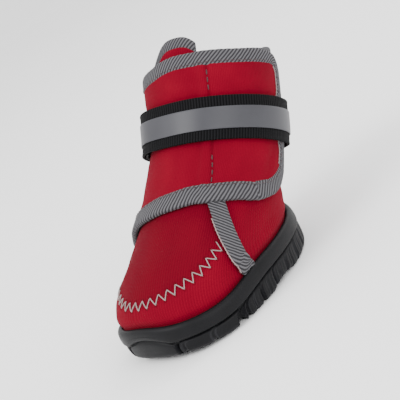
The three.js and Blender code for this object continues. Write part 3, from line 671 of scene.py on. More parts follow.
def lug_cut(s):
    """How deep the side is cut at a distance from the toe."""
    s = np.asarray(s, float) / LUG_SCALE
    cut = np.zeros_like(s)
    for start, end, depth in NOTCHES:
        cut = np.maximum(cut, depth * soften(slot_shape(s, start + 0.2, end - 0.2, 1.1)))
    forefoot = (s > 18.4) & (s < 46)
    wave = ((s - 18.4) / 13.8) % 1
    cut = np.where(forefoot, np.maximum(cut, 0.8 * soften(slot_shape(wave * 13.8, 0.4, 3.4, 0.9))), cut)
    for start, end, count, depth in (SIDE_LUGS, HEEL_LUGS):
        length = (end - start) / count
        place = ((s - start) / length) % 1 * length
        slit = depth * soften(slot_shape(place, 0.1, 2.6, 0.7))
        step = 0.45 * soften(slot_shape(place, length * 0.52, length * 0.52 + 1.4, 0.5))
        cut = np.where((s >= start) & (s <= end), np.maximum(cut, np.maximum(slit, step)), cut)
    return cut


# %% [markdown]
# The lugs' faces are not flat in the photograph: thin raised ribs lean across them, and the toe pad
# has an arched top with fine lines. These small steps are also real geometry here, in the same grid.

# %% Profile rows of the sole: inset, height, whether it hangs from the rim, share of lug
PROFILE = np.array([
    (3.3, 6.0, 0, 0), (3.3, -1.2, 1, 0), (3.25, -0.5, 1, 0), (3.05, -0.15, 1, 0), (2.6, 0.0, 1, 0),
    (2.1, 0.0, 1, 0), (1.6, -0.2, 1, 0), (1.1, -0.6, 1, 0), (0.7, -1.15, 1, 0), (0.38, -1.9, 1, 0),
    (0.16, -2.9, 1, 0), (0.04, -4.0, 1, 0), (0.0, 9.2, 0, 0), (0.02, 8.5, 0, 0), (0.12, 7.9, 0, 0),
    (0.4, 7.45, 0, 0), (0.9, 7.15, 0, 0), (1.55, 6.95, 0, 0), (1.75, 6.7, 0, 0), (1.55, 6.45, 0, 0.05),
    (1.1, 6.2, 0, 0.15), (0.8, 5.85, 0, 0.4), (0.7, 5.3, 0, 0.7), (0.72, 4.6, 0, 0.85), (0.78, 3.9, 0, 0.95),
    (0.86, 3.2, 0, 1), (0.95, 2.5, 0, 1), (1.1, 1.9, 0, 1), (1.35, 1.35, 0, 1), (1.75, 0.85, 0, 1),
    (2.2, 0.45, 0, 1), (2.65, 0.15, 0, 1), (3.1, 0.0, 0, 1),
])
STATION = np.linspace(-1, 1, 641)


def sole_wall(turn, row):
    """turn is -1 at the heel, 0 at the toe and 1 at the heel again. row counts down the profile."""
    inset, height, hangs, lug = PROFILE[row.astype(int)].T
    s = np.abs(turn) * HALF_GIRTH
    free = np.minimum(smooth(12, 24, s), smooth(0, 14, HALF_GIRTH - s))
    leaned = np.clip(s - 2.8 * lug * free, 0, HALF_GIRTH)
    cut = lug_cut(s) * lug
    ribs = 0.16 * (0.5 + 0.5 * np.cos(math.tau * s / 2.15)) * smooth(0.5, 0.9, lug) * smooth(50, 56, s)
    ribs = ribs * smooth(1.2, 2.6, height) * (cut < 0.2)
    pad = np.clip(1 - (s / (TOE_PAD * LUG_SCALE)) ** 2, 0, 1)
    low_row = (hangs < 0.5) & (row > 0)
    raise_groove = 3.4 * pad * smooth(4.0, 7.0, height) * low_row
    pad_lines = 0.22 * pad * (0.5 - 0.5 * np.cos(math.tau * height / 1.3)) * smooth(0.7, 0.95, lug)
    theta = np.sign(turn) * angle_at(leaned)
    x, y = outline(theta, inset + cut - ribs + pad_lines)
    base = np.where(hangs > 0.5, rim_top(x, y), lift(y))
    deep = np.where(height < 0.5, 0.9, 0.4) * lug_cut(s) * (lug > 0.99)
    taller = side_rise(y) * smooth(0.8, 6, height) * low_row
    z = base + height + raise_groove + deep + taller + arch(y) * (lug > 0.99)
    return np.stack([x, y, z], -1)


outsole, turns, profile_rows = laid_grid(
    "rubber_cup_sole", STATION[::-1], np.arange(len(PROFILE)), sole_wall, lambda s, t: (s * HALF_GIRTH, t),
)
EDGE_SAMPLES = 4000
edge_run = np.linspace(0, HALF_GIRTH, EDGE_SAMPLES)
lug_edge = np.abs(np.gradient(lug_cut(edge_run), HALF_GIRTH / EDGE_SAMPLES))
edge_here = np.interp(np.abs(turns) * HALF_GIRTH, edge_run, np.clip(lug_edge, 0, 1))
lug_here = PROFILE[profile_rows.astype(int), 3]
tread_corner = np.exp(-((PROFILE[profile_rows.astype(int), 1] - 0.7) / 0.7) ** 2) * (lug_here > 0.9)
give_value(outsole, "rubbed", np.clip(edge_here * lug_here + 0.5 * tread_corner, 0, 1))

# %% [markdown]
# The tread underneath is a second grid, from the left edge to the right one. Its ends fall exactly on
# the wall's last row, so the two weld into one closed moulding. Grooves cross it in a shallow chevron.

# %% Tread and cup floor
HALF_STATION = STATION[STATION >= 0]


def bottom_edge(turn):
    return sole_wall(turn, np.full_like(turn, len(PROFILE) - 1))


def tread(turn, across):
    right = bottom_edge(turn)
    left = bottom_edge(-turn)
    point = mix(left, right, ((across + 1) / 2)[..., None])
    s = turn * HALF_GIRTH
    ends = smooth(14, 30, s) * smooth(6, 20, HALF_GIRTH - s)
    inside = 1 - np.abs(across)
    point[..., 1] += 4 * ends * inside
    sipe = 0.35 * soften(slot_shape(np.abs(across) * 3 % 1, 0.42, 0.58, 0.05)) * smooth(0.02, 0.1, inside)
    inner = inside > 1e-6
    y = point[..., 1]
    flat = lift(y) + arch(y) + lug_cut(s) * 0.9 + sipe * ends
    point[..., 2] = np.where(inner, flat, point[..., 2])
    return point


def cup_floor(turn, across):
    top = np.zeros_like(turn)
    point = mix(sole_wall(-turn, top), sole_wall(turn, top), ((across + 1) / 2)[..., None])
    point[..., 2] = lift(point[..., 1]) + FLOOR_HEIGHT
    return point


tread_grid, tread_turn, _ = laid_grid(
    "tread", HALF_STATION, np.linspace(-1, 1, 41), tread, lambda s, t: (s * HALF_GIRTH, t * 30),
)
give_value(tread_grid, "rubbed", 0.25 * (lug_cut(tread_turn * HALF_GIRTH) < 0.1))
floor_grid, floor_turn, _ = laid_grid(
    "cup_floor", HALF_STATION, np.linspace(-1, 1, 9), cup_floor, lambda s, t: (s * HALF_GIRTH, t * 30),
)
give_value(floor_grid, "rubbed", np.zeros(len(floor_turn)))
select_only(outsole, tread_grid, floor_grid)
bpy.ops.object.join()
outsole = bpy.context.active_object
weld(outsole, 0.01)
turn_outward(outsole)
paint(outsole, RUBBER)
shade(outsole, 50)
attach(outsole, "root")
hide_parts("outsole")
report(outsole)

# %% [markdown]
# ## Insole
# A thin foam board lies on the cup's floor, and only its top is ever seen, deep inside. One grid of
# rings goes over its top, round its edge and under it, and the rings at the middle weld to a point.

# %% Insole board
INSOLE_INSET = RIM_WALL + FIT_GAP + NEOPRENE + FIT_GAP
INSOLE_RINGS = np.array([
    (0.0, 3.0), (0.25, 3.0), (0.5, 3.0), (0.75, 3.0), (0.93, 3.0), (0.975, 2.85), (1.0, 2.4),
    (1.0, 0.6), (0.97, 0.1), (0.9, 0.0), (0.5, 0.0), (0.0, 0.0),
])


def insole_point(theta, ring):
    reach, height = INSOLE_RINGS[ring.astype(int)].T
    x, y = outline(theta, INSOLE_INSET)
    middle = -SOLE_LENGTH / 2 + SOLE_LENGTH * BALL_FROM_TOE
    y = mix(middle, y, reach)
    return np.stack([x * reach, y, lift(y) + FLOOR_HEIGHT + FIT_GAP + height], -1)


board_recipe = Recipe("dark brushed insole cloth", roughness=0.9, sheen=0.2, specular=0.1)
board_space = board_recipe.coordinates("Object", (MILLIMETRES,) * 3)
board_rib = board_recipe.wave(board_space, 1.4, distortion=0.6)
board_color = board_recipe.ramp(board_rib, [(0.1, (0.013, 0.013, 0.015)), (0.9, (0.040, 0.040, 0.044))])
INSOLE_CLOTH = board_recipe.finish(board_color, board_recipe.bump(board_rib, 0.12))

insole, _, _ = laid_grid(
    "foam_insole", np.linspace(180, -180, 97), np.arange(len(INSOLE_RINGS)), insole_point,
    lambda s, t: (s * 0.5, t * 5),
)
weld(insole)
turn_outward(insole)
paint(insole, INSOLE_CLOTH)
shade(insole)
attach(insole, "root")
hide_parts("insole")
report(insole)

# %% [markdown]
# ## The upper
# The real upper is cut cloth, sewn and pulled over a last. Here one grid goes round the last and up
# to the collar. Two of its columns and one of its rows stand exactly on the edges of the throat, so
# the throat opens by deleting the faces inside them. Solidify then gives the wall its thickness,
# and puts the black lining on the inner faces.

# %% Soft creases
# Each crease: middle angle, middle v, half length and half width in mm, turn in degrees, depth in mm.
UPPER_CREASES = (
    (-46, 9.5, 15, 2.6, 24, -0.5), (-40, 6.5, 13, 2.2, 20, 0.4), (34, 13.0, 12, 2.6, -20, -0.45),
    (6, 13.5, 17, 2.4, 0, -0.4), (0, 10.5, 20, 2.8, 2, 0.35), (150, 22.0, 16, 2.6, -8, -0.6),
    (155, 27.0, 15, 2.4, 6, 0.45), (-150, 24.0, 16, 2.6, 8, -0.6), (104, 5.5, 13, 2.4, 14, -0.4),
)
MM_PER_DEGREE = 0.5


def creases(rows, theta, v):
    """Soft troughs and ridges, laid across the cloth."""
    total = np.zeros_like(theta, dtype=float)
    for angle, height, length, width, turn, depth in rows:
        across = (wrap_angle(theta - angle)) * MM_PER_DEGREE * 1.2
        up = (v - height) * 1.3
        c, s = math.cos(math.radians(turn)), math.sin(math.radians(turn))
        along, side = c * across + s * up, c * up - s * across
        total += depth * np.exp(-(along / length) ** 4 - (side / width) ** 2)
    return total


# %% The zigzag seam's path over the vamp, by angle
ZIGZAG = ((-80, -71, -66, -54, -38, -20, 0, 20, 38, 54, 66, 71, 80),
          (10.0, 10.2, 9.8, 8.2, 7.2, 6.2, 5.2, 5.8, 6.5, 7.3, 9.3, 11.0, 15.0))


def zigzag_v(theta):
    return table(*ZIGZAG, theta)


# %% Upper shell
THROAT_CENTRE = -8.0
THROAT_HALF = 44.0
THROAT_FOOT = 34.0
THROAT_GAP = 0.35 / MM_PER_DEGREE
COLLAR_TAPE = 4.6

THROAT_LEFT, THROAT_RIGHT = (THROAT_CENTRE + side * (THROAT_HALF + THROAT_GAP) for side in (-1, 1))
upper_columns = np.linspace(-180, 180, 241)
for edge in (THROAT_LEFT, THROAT_RIGHT):
    upper_columns[np.argmin(np.abs(upper_columns - edge))] = edge
# Rows below the throat are heights; above it, 34 to 35 is the share of the way to the collar.
upper_rows = np.concatenate([
    [-1, -0.5, -0.1, 0.0, 0.25, 0.6], np.arange(1.1, 12, 0.55), np.arange(12, 33.6, 0.9), [THROAT_FOOT],
    THROAT_FOOT + np.linspace(0.05, 1, 20),
])


def upper_height(theta, row):
    top = table(*COLLAR, wrap_angle(theta)) - COLLAR_TAPE + 0.8
    share = np.clip(row - THROAT_FOOT, 0, 1)
    return np.where(row > THROAT_FOOT, mix(THROAT_FOOT, top, share), row)


def upper_off(theta, v):
    puff = 0.2 * np.exp(-((v - 1.6) / 1.5) ** 2) * smooth(-0.1, 1.0, v)
    stitched = -0.35 * np.exp(-((v - zigzag_v(theta)) / 1.6) ** 2) * (np.abs(theta) < 68)
    soft = puff + stitched + creases(UPPER_CREASES, theta, v)
    return quarter_rise_field(theta, v) + soft * smooth(0, 1.5, v)


QUARTER_STEP = 1.2


def step_field(theta, v, ahead, back_start):
    """A low step that starts some degrees ahead of the quarter's edge and ends behind the heel."""
    start = quarter_edge(v) - ahead
    front = soften(np.clip((theta - start) / 5, 0, 1))
    back = np.where(theta < 0, 1 - smooth(back_start, back_start + 30, theta), 0)
    return QUARTER_STEP * np.maximum(front, back) * smooth(0.2, 3, v)


def quarter_rise_field(theta, v):
    """The step of the outer quarter for arrays of angles and heights."""
    return step_field(theta, v, 1, -160)


def cover_rise(theta, v):
    """What lies over the step starts to rise a little ahead of it."""
    return step_field(wrap_angle(theta), v, 8, -153)


def upper_point(theta, row):
    v = upper_height(theta, row)
    return off_last(theta, v, upper_off(theta, v))


def cloth_uv(theta, v):
    return theta * MM_PER_DEGREE * 1.15, v * 1.25


upper, upper_theta, upper_row = laid_grid(
    "hollow_upper", upper_columns, upper_rows, upper_point,
    lambda s, t: cloth_uv(s, upper_height(s, t)),
)
# Where the painted shade darkens the vamp: above the zigzag seam, fading out towards the sides.
above = smooth(-1.0, 0.6, upper_height(upper_theta, upper_row) - zigzag_v(upper_theta))
sides = 1 - smooth(56, 72, np.abs(upper_theta))
give_value(upper, "above_zigzag_painted_shade", above * sides)

edit(upper, "FACE")
bpy.ops.object.mode_set(mode="OBJECT")
for face in upper.data.polygons:
    middle = np.mean([upper_theta[k] for k in face.vertices])
    height = min(upper_row[k] for k in face.vertices)
    face.select = bool(THROAT_LEFT < middle < THROAT_RIGHT and height >= THROAT_FOOT - 1e-6)
bpy.ops.object.mode_set(mode="EDIT")
bpy.ops.mesh.delete(type="FACE")
bpy.ops.object.mode_set(mode="OBJECT")
weld(upper)
paint(upper, RIBBED_RED, LINING)
give_wall(upper, NEOPRENE, material_offset=1, material_offset_rim=1)
shade(upper)
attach(upper, "root")
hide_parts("upper")
report(upper)

# %% [markdown]
# ## Tongue
# The tongue fills the throat behind the flap. It is a smaller grid on the same last, and its bound
# top stands above the flap, where the photograph shows it.

# %% Tongue panel and its bound top
TONGUE_TOP = 73.3
TONGUE_PEAK = 16.0
TONGUE_TAPE = 6.0


def tongue_top(theta):
    return TONGUE_TOP - 12 * (1 - np.exp(-np.abs((theta - TONGUE_PEAK) / 28) ** 3))


def tongue_point(theta, share):
    v = mix(THROAT_FOOT + 0.35, tongue_top(theta) - TONGUE_TAPE + 1.0, share)
    return off_last(theta, v, np.zeros_like(v))


tongue, _, _ = laid_grid(
    "tongue_panel", np.linspace(THROAT_CENTRE - THROAT_HALF, THROAT_CENTRE + THROAT_HALF, 45),
    np.linspace(0, 1, 33), tongue_point, lambda s, t: (s * 0.5, t * 32),
)
# The tongue gets none of the vamp's painted shade.
give_value(tongue, "above_zigzag_painted_shade", np.zeros(len(tongue.data.vertices)))
paint(tongue, RIBBED_RED, LINING)
give_wall(tongue, NEOPRENE, material_offset=1, material_offset_rim=1)
shade(tongue)
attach(tongue, "root")
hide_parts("tongue")
report(tongue)


# %% [markdown]
# Binding tape is folded over an edge and sewn down, so in section it is a flattened, rounded loop.
# One helper lays that loop along a path on the last: each station gets a rounded section, the stations
# make a tube, and the tube is welded along its seam and capped.

# %% Helpers that step sideways from a path, and lay a rounded tape along one
TAPE_COUNT = 28


def sideways(theta, v, lowest=0.4):
    """The change of angle and v that moves each place of a path one millimetre to its left."""
    _, per_degree, per_v, normal = last_frame(theta, np.maximum(lowest, v))
    tangent = unit(np.gradient(theta)[:, None] * per_degree + np.gradient(v)[:, None] * per_v)
    side = np.cross(normal, tangent)
    g_tt, g_tv, g_vv, b_t, b_v = (np.einsum("ij,ij->i", a, b) for a, b in (
        (per_degree, per_degree), (per_degree, per_v), (per_v, per_v), (side, per_degree), (side, per_v),
    ))
    det = g_tt * g_vv - g_tv ** 2
    return (b_t * g_vv - b_v * g_tv) / det, (b_v * g_tt - b_t * g_tv) / det


def offset_path(theta, v, shift):
    """A path moved sideways by shift millimetres, positive to the left of its run."""
    step_theta, step_v = sideways(theta, v)
    return theta + shift * step_theta, v + shift * step_v


def loop_section(power):
    """A closed rounded section: two numbers from -1 to 1 for each place round it."""
    turn = np.linspace(0, math.tau, TAPE_COUNT + 1)
    return signed_power(np.cos(turn), 2 / power), signed_power(np.sin(turn), 2 / power)


def laid_tape(name, path_theta, path_v, width, low, high, power, upright=False, wave=0.0, foot=-0.6):
    """A tape whose middle follows the path, between the offsets low and high."""
    path_theta = np.asarray(path_theta, float)
    path_v = np.asarray(path_v, float)
    width = np.broadcast_to(np.asarray(width, float), path_theta.shape)
    point, _, per_v, _ = last_frame(path_theta, np.maximum(foot, path_v))
    if upright:
        step_theta = np.zeros_like(path_theta)
        step_v = 1 / np.linalg.norm(per_v, axis=1)
    else:
        step_theta, step_v = sideways(path_theta, path_v, foot)
    run = run_along(point)
    across, rise = loop_section(power)
    around = run_along(np.stack([across * width.mean() / 2, rise * 0.8], -1))

    def place(s, t):
        k = s.astype(int)
        m = t.astype(int)
        half = width[k] / 2
        shift = across[m] * half + wave * np.sin(run[k] * 1.9)
        theta = path_theta[k] + step_theta[k] * shift
        v = np.maximum(foot, path_v[k] + step_v[k] * shift)
        lower, upper_side = low(theta, v), high(theta, v)
        return off_last(theta, v, mix(lower, upper_side, (rise[m] + 1) / 2))

    obj, _, _ = laid_grid(
        name, np.arange(len(path_theta)), np.arange(TAPE_COUNT + 1), place,
        lambda s, t: (run[s.astype(int)], around[t.astype(int)]),
    )
    close_tube(obj)
    paint(obj, TWILL)
    shade(obj, 60)
    return obj


# %% Binding over the tongue's top
bind_theta = np.linspace(THROAT_CENTRE - THROAT_HALF, THROAT_CENTRE + THROAT_HALF, 61)
tongue_binding = laid_tape(
    "tongue_top_binding", bind_theta, tongue_top(bind_theta) - TONGUE_TAPE / 2, TONGUE_TAPE,
    lambda theta, v: -2.9 + 0 * v, lambda theta, v: 0.1 + 0 * v, power=3.2, upright=True,
)
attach(tongue_binding, "root")
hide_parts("tongue_binding")
report(tongue_binding)

# %% Binding round the collar
collar_theta = np.linspace(THROAT_CENTRE + THROAT_HALF + 3.5, 360 + THROAT_CENTRE - THROAT_HALF - 3.5, 220)
collar_binding = laid_tape(
    "collar_edge_binding", collar_theta, table(*COLLAR, wrap_angle(collar_theta)) - COLLAR_TAPE / 2 + 0.2,
    COLLAR_TAPE - 0.4, lambda theta, v: -NEOPRENE - 0.5 + 0 * v,
    lambda theta, v: quarter_rise_field(wrap_angle(theta), v)
    + 0.7 * smooth(138, 150, theta) * (1 - smooth(195, 208, theta)),
    power=2.8, wave=0.06,
)
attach(collar_binding, "root")
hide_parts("collar_binding")
report(collar_binding)

# %% [markdown]
# ## Wrap flap
# The flap is one thick panel. It thins to nothing where it is sewn on at the back of the inner side,
# so its Solidify modifier reads a vertex group that says how thick it is at each point. Its outer
# face swells a little between the strap and the bindings, as foam does when it is held down.

# %% Flap edges, drawn in to leave room for the tape
FLAP_END = 123.0
FLAP_BACK = -150.0
FLAP_FOOT = 2.2
FLAP_CORNER = 10.0
FLAP_THICKNESS = 2.4
LAYER_GAP = 0.5
END_TAPE = 6.0
LOWER_TAPE = 8.5
TOP_TAPE = 7.0
STRAP_LEVEL = 34.0
STRAP_WIDTH = 20.0


def flap_low(theta):
    return table(*FLAP_LOW, theta)


def flap_top(theta):
    return table(*FLAP_TOP, theta)


def lower_inset(theta):
    """Half the lower tape's width, measured up the last across a sloping edge."""
    v = np.maximum(0.9, flap_low(theta))
    slope = (flap_low(theta + 2) - flap_low(theta - 2)) / 4
    per_v = np.linalg.norm(last_frame(theta, v + 1)[2], axis=-1)
    per_degree = np.linalg.norm(last_frame(theta, v)[1], axis=-1)
    return LOWER_TAPE / 2 * np.sqrt(1 + (slope * per_v / per_degree) ** 2) / per_v


def flap_bounds(theta):
    """The lowest and highest v of the panel at an angle, half a tape inside the flap's edge."""
    end = FLAP_END - END_TAPE / 2 / MM_PER_DEGREE
    low = np.maximum(FLAP_FOOT, flap_low(theta) + lower_inset(theta))
    top = flap_top(theta) - TOP_TAPE / 2
    radius = FLAP_CORNER - END_TAPE / 2
    turn = radius / MM_PER_DEGREE
    run = np.clip((theta - (end - turn)) / turn, 0, 1)
    bite = radius * (1 - np.sqrt(1 - run * run))
    per_v = np.linalg.norm(last_frame(theta, low + 1)[2], axis=-1)
    return low + bite / per_v, top - bite


def flap_body(theta, v):
    """The share of the flap's full thickness at a place."""
    back = mix(0.18, 1, smooth(FLAP_BACK, -112, theta))
    foot = np.where(theta < -60, mix(0.3, 1, smooth(0.5, 7, v)), 1)
    return back * foot


# %% Flap panel with its puff, strap channel, folds and upright seam
FLAP_CREASES = (
    (-30, 20.5, 20, 2.4, 4, -0.55), (20, 22.0, 15, 2.0, -8, -0.4), (70, 19.0, 16, 2.6, 6, -0.45),
    (-78, 14.0, 14, 2.8, 38, -0.6), (-92, 22.0, 14, 2.6, 30, 0.45), (48, 27.0, 8, 2.2, 60, 0.3),
    (100, 22.0, 10, 2.4, 70, -0.35),
)
SEAM_ANGLE = ((8, 21, 28, 66), (53.0, 49.0, 45.5, 44.5))


def seam_theta(v):
    return table(*SEAM_ANGLE, v)


def flap_off(theta, v):
    low, top = flap_bounds(theta)
    height = (last(theta, v) - HEEL_RIM) @ SHAFT_AXIS
    from_strap = np.abs(height - STRAP_LEVEL) - STRAP_WIDTH / 2
    swell = 0.45 * smooth(0, 6, from_strap) * smooth(0, 5, v - low) * smooth(0, 3.5, top - v)
    pinch = -0.25 * (1 - smooth(0, 2.5, from_strap))
    channel = -0.45 * np.exp(-((theta - seam_theta(v)) * MM_PER_DEGREE / 0.75) ** 2)
    folds = creases(FLAP_CREASES, theta, v) * smooth(0, 3, from_strap)
    lifted = (swell + pinch + folds) * smooth(-148, -118, theta)
    return cover_rise(theta, v) + LAYER_GAP + FLAP_THICKNESS * flap_body(theta, v) + lifted + channel


def flap_height(theta, share):
    return mix(*flap_bounds(theta), share)


def flap_point(theta, share):
    v = flap_height(theta, share)
    return off_last(theta, v, flap_off(theta, v))


FLAP_SIDE = FLAP_END - END_TAPE
to_the_end = FLAP_SIDE - np.array([9, 6, 4, 2, 1, 0])
flap_columns = np.append(np.linspace(FLAP_BACK, FLAP_SIDE - 12, 200), to_the_end)


flap, flap_theta, flap_share = laid_grid(
    "wrap_flap_panel", flap_columns, np.linspace(0, 1, 91), flap_point,
    lambda s, t: cloth_uv(s, flap_height(s, t)),
)
flap_v = flap_height(flap_theta, flap_share)
give_value(flap, "seam_shade", np.exp(-((flap_theta - seam_theta(flap_v)) * MM_PER_DEGREE / 0.55) ** 2))
thickness_group = give_weight(flap, "thickness", flap_body(flap_theta, flap_v))
paint(flap, FINE_RED, LINING)
give_wall(
    flap, FLAP_THICKNESS - 0.1, vertex_group=thickness_group, material_offset=1, material_offset_rim=0,
)
shade(flap)
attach(flap, "root")
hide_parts("wrap_flap")
report(flap)

# %% [markdown]
# The flap's tape runs from the inner side's foot up along the lower edge, round the free end and
# back over the top, in one piece. Its path is the flap's own edge drawn in by half the tape.

# %% Binding round the flap's free edges
TAPE_START = -102.0
TAPE_DIVE = 6.5
TAPE_MM_PER_DEGREE = 0.52


def flap_tape_path():
    """Angle, v and width of the tape from the inner side's foot to the back of the top."""
    end = FLAP_END - END_TAPE / 2 / TAPE_MM_PER_DEGREE
    radius = FLAP_CORNER - END_TAPE / 2
    turn = radius / TAPE_MM_PER_DEGREE

    def low_at(theta):
        return flap_low(theta) + lower_inset(theta)

    def top_at(theta):
        return flap_top(theta) - TOP_TAPE / 2

    low_theta = np.linspace(TAPE_START, end - turn, 156)
    low_end = float(low_at(np.array([end - turn]))[0])
    per_v = float(np.linalg.norm(last_frame(np.array([end]), np.array([low_end + 3.0]))[2]))
    start_v = low_end + radius / per_v
    top_v = float(top_at(np.array([end - turn]))[0]) - radius
    bend = np.radians(np.linspace(-90, 0, 14)[1:])
    bend_back = np.radians(np.linspace(0, 90, 14)[1:])
    up = np.linspace(start_v, top_v, 50)[1:]
    back_theta = np.linspace(end - turn, FLAP_BACK, 150)[1:]
    theta = np.concatenate([
        low_theta, end - turn + turn * np.cos(bend), np.full(len(up), end),
        end - turn + turn * np.cos(bend_back), back_theta,
    ])
    low_v = low_at(low_theta) - TAPE_DIVE * (1 - smooth(-101, -90, low_theta))
    v = np.concatenate([
        low_v, start_v + (start_v - low_end) * np.sin(bend), up,
        top_v + radius * np.sin(bend_back), top_at(back_theta),
    ])
    width = np.concatenate([
        np.full(len(low_theta), LOWER_TAPE), np.full(len(bend) + len(up) + len(bend_back), END_TAPE),
        np.full(len(back_theta), TOP_TAPE),
    ])
    kernel = np.ones(15) / 15
    width = np.convolve(np.pad(width, 7, mode="edge"), kernel, mode="valid")
    return theta, v, width


tape_theta, tape_v, tape_width = flap_tape_path()


def tape_low(theta, v):
    return cover_rise(theta, v) + LAYER_GAP


def tape_high(theta, v):
    return tape_low(theta, v) + FLAP_THICKNESS * flap_body(wrap_angle(theta), v) + 0.75


flap_binding = laid_tape(
    "flap_edge_binding", tape_theta, tape_v, tape_width, tape_low, tape_high, power=3.6, wave=0.07, foot=0.4,
)
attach(flap_binding, "root")
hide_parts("flap_binding")
report(flap_binding)

# %% [markdown]
# The outer quarter's front edge has its own tape. Below QUARTER_BEND the tape leans less than the
# edge does. The fine twisted cord along its front is made further on, with the threads.

# %% Tape on the outer quarter's edge
QUARTER_TAPE = 7.2
QUARTER_BEND = 4.0
QUARTER_BEND_SLOPE = 0.9
quarter_v = np.linspace(17.2, -0.8, 60)
quarter_run = quarter_edge(np.maximum(quarter_v, QUARTER_BEND)) + 2
quarter_run += QUARTER_BEND_SLOPE * (QUARTER_BEND - np.minimum(quarter_v, QUARTER_BEND))
quarter_binding = laid_tape(
    "quarter_edge_binding", quarter_run, quarter_v, QUARTER_TAPE,
    lambda theta, v: cover_rise(theta, v) + 0.2, lambda theta, v: cover_rise(theta, v) + LAYER_GAP + 1.15,
    power=4.5, wave=0.05,
)
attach(quarter_binding, "root")
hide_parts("quarter_binding")
report(quarter_binding)

# %% [markdown]
# ## Strap
# The strap is one long turn of webbing, so its grid runs more than once round: an inner turn, then
# the outer one that the photograph shows. Its seat is a table of offsets by angle, which lifts the
# outer turn over the inner one and over the flap.

# %% Webbing strap and reflective stripe
STRAP_START = -25.0
STRAP_END = -435.0
STRAP_THICKNESS = 1.3
SELVEDGE = 0.16
STRIPE_START = -185.0
STRIPE_END = -430.0


def strap_seat(phi):
    return table(*STRAP_SEAT, phi)


def band_point(phi, across, off):
    theta = wrap_angle(phi)
    v = level_v(theta, STRAP_LEVEL + across)
    return off_last(theta, v, off)


def strap_point(phi, across):
    ridge = SELVEDGE * smooth(0.86, 0.97, np.abs(across) / (STRAP_WIDTH / 2))
    return band_point(phi, across, strap_seat(phi) + STRAP_THICKNESS - SELVEDGE + ridge)


strap, _, _ = laid_grid(
    "webbing_strap", np.linspace(STRAP_END, STRAP_START, 206), np.linspace(-10, 10, 25), strap_point,
    lambda s, t: (s * 0.58, t),
)
paint(strap, WEBBING)
give_wall(strap, STRAP_THICKNESS - SELVEDGE)
soften_edges(strap, 0.3)
shade(strap)
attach(strap, "root")
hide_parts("strap")
report(strap)

TAPE_HALF = 5.1
stripe, _, _ = laid_grid(
    "reflective_stripe", np.linspace(STRIPE_END, STRIPE_START, 130), np.linspace(-TAPE_HALF, TAPE_HALF, 13),
    lambda phi, across: band_point(phi, across, strap_seat(phi) + STRAP_THICKNESS + 0.35),
    lambda s, t: (s * 0.58, t),
)
paint(stripe, REFLECTIVE)
give_wall(stripe, 0.45)
soften_edges(stripe, 0.12)
shade(stripe)
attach(stripe, "root")
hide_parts("reflective_tape")
report(stripe)

# %% [markdown]
# ## Stitches
# A seam is many copies of one stitch. One stitch is modelled once as a short, bent cylinder, and each
# copy gets its own place, so the seams stay real geometry with only a few dozen faces each.

# %% One stitch, and a row of its copies


def model_stitch(length, radius):
    """A short thread: a cylinder along X, its ends turned down into the cloth."""
    clear_selection()
    bpy.ops.mesh.primitive_cylinder_add(vertices=6, radius=radius, depth=length, rotation=(0, math.pi / 2, 0))
    obj = bpy.context.active_object
    bpy.ops.object.transform_apply(location=True, rotation=True, scale=True)
    edit(obj)
    bpy.ops.mesh.select_all(action="SELECT")
    bpy.ops.mesh.bisect(plane_co=(-length * 0.3, 0, 0), plane_no=(1, 0, 0))
    bpy.ops.mesh.select_all(action="SELECT")
    bpy.ops.mesh.bisect(plane_co=(length * 0.3, 0, 0), plane_no=(1, 0, 0))
    bpy.ops.object.mode_set(mode="OBJECT")
    for vertex in obj.data.vertices:
        if abs(vertex.co.x) > length * 0.4:
            vertex.co.z -= radius * 1.6
            vertex.co.y *= 0.6
    return obj


def copies_of(template, name, places, material):
    """One mesh of copies: each place is a point, a direction along X and a normal along Z."""
    shape = np.array([vertex.co for vertex in template.data.vertices])
    faces = [tuple(face.vertices) for face in template.data.polygons]
    points = []
    all_faces = []
    for point, direction, normal in places:
        x_axis = direction / np.linalg.norm(direction)
        z_axis = normal / np.linalg.norm(normal)
        y_axis = np.cross(z_axis, x_axis)
        start = len(points) * len(shape)
        points.append(point + shape @ np.array([x_axis, y_axis, z_axis]))
        all_faces.extend(tuple(start + k for k in face) for face in faces)
    mesh = bpy.data.meshes.new(name)
    mesh.from_pydata(np.concatenate(points).tolist(), [], all_faces)
    uv = mesh.uv_layers.new(name="UVMap")
    corner = np.array([loop.vertex_index for loop in mesh.loops]) % len(shape)
    uv.data.foreach_set("uv", (shape[corner][:, [0, 1]] / MM).ravel())
    obj = bpy.data.objects.new(name, mesh)
    bpy.context.scene.collection.objects.link(obj)
    paint(obj, material)
    shade(obj, 60)
    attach(obj, "root")
    report(obj)
    return obj


def seam_places(theta, v, off, pitch):
    """Even places along a path on the last, for one stitch each."""
    line = in_frame(off_last(theta, v, off(theta, v)))
    run = run_along(line) / MM
    stops = np.arange(pitch / 2, run[-1], pitch)
    at_theta = np.interp(stops, run, theta)
    at_v = np.interp(stops, run, v)
    normal = last_frame(at_theta, at_v)[3]
    point = np.stack([np.interp(stops, run, line[:, k]) for k in range(3)], -1)
    ahead = np.stack([np.interp(stops + 0.3, run, line[:, k]) for k in range(3)], -1)
    behind = np.stack([np.interp(stops - 0.3, run, line[:, k]) for k in range(3)], -1)
    return list(zip(point, ahead - behind, normal))


# %% Stitches along the flap's tape
tape_stitch = model_stitch(2.3 * MM, 0.20 * MM)
inner_theta, inner_v = offset_path(tape_theta, tape_v, tape_width / 2 - 1.5)
keep = inner_v > 1.5
flap_seam = copies_of(
    tape_stitch, "flap_tape_stitches",
    seam_places(inner_theta[keep], inner_v[keep], tape_high, 3.0), DARK_THREAD,
)

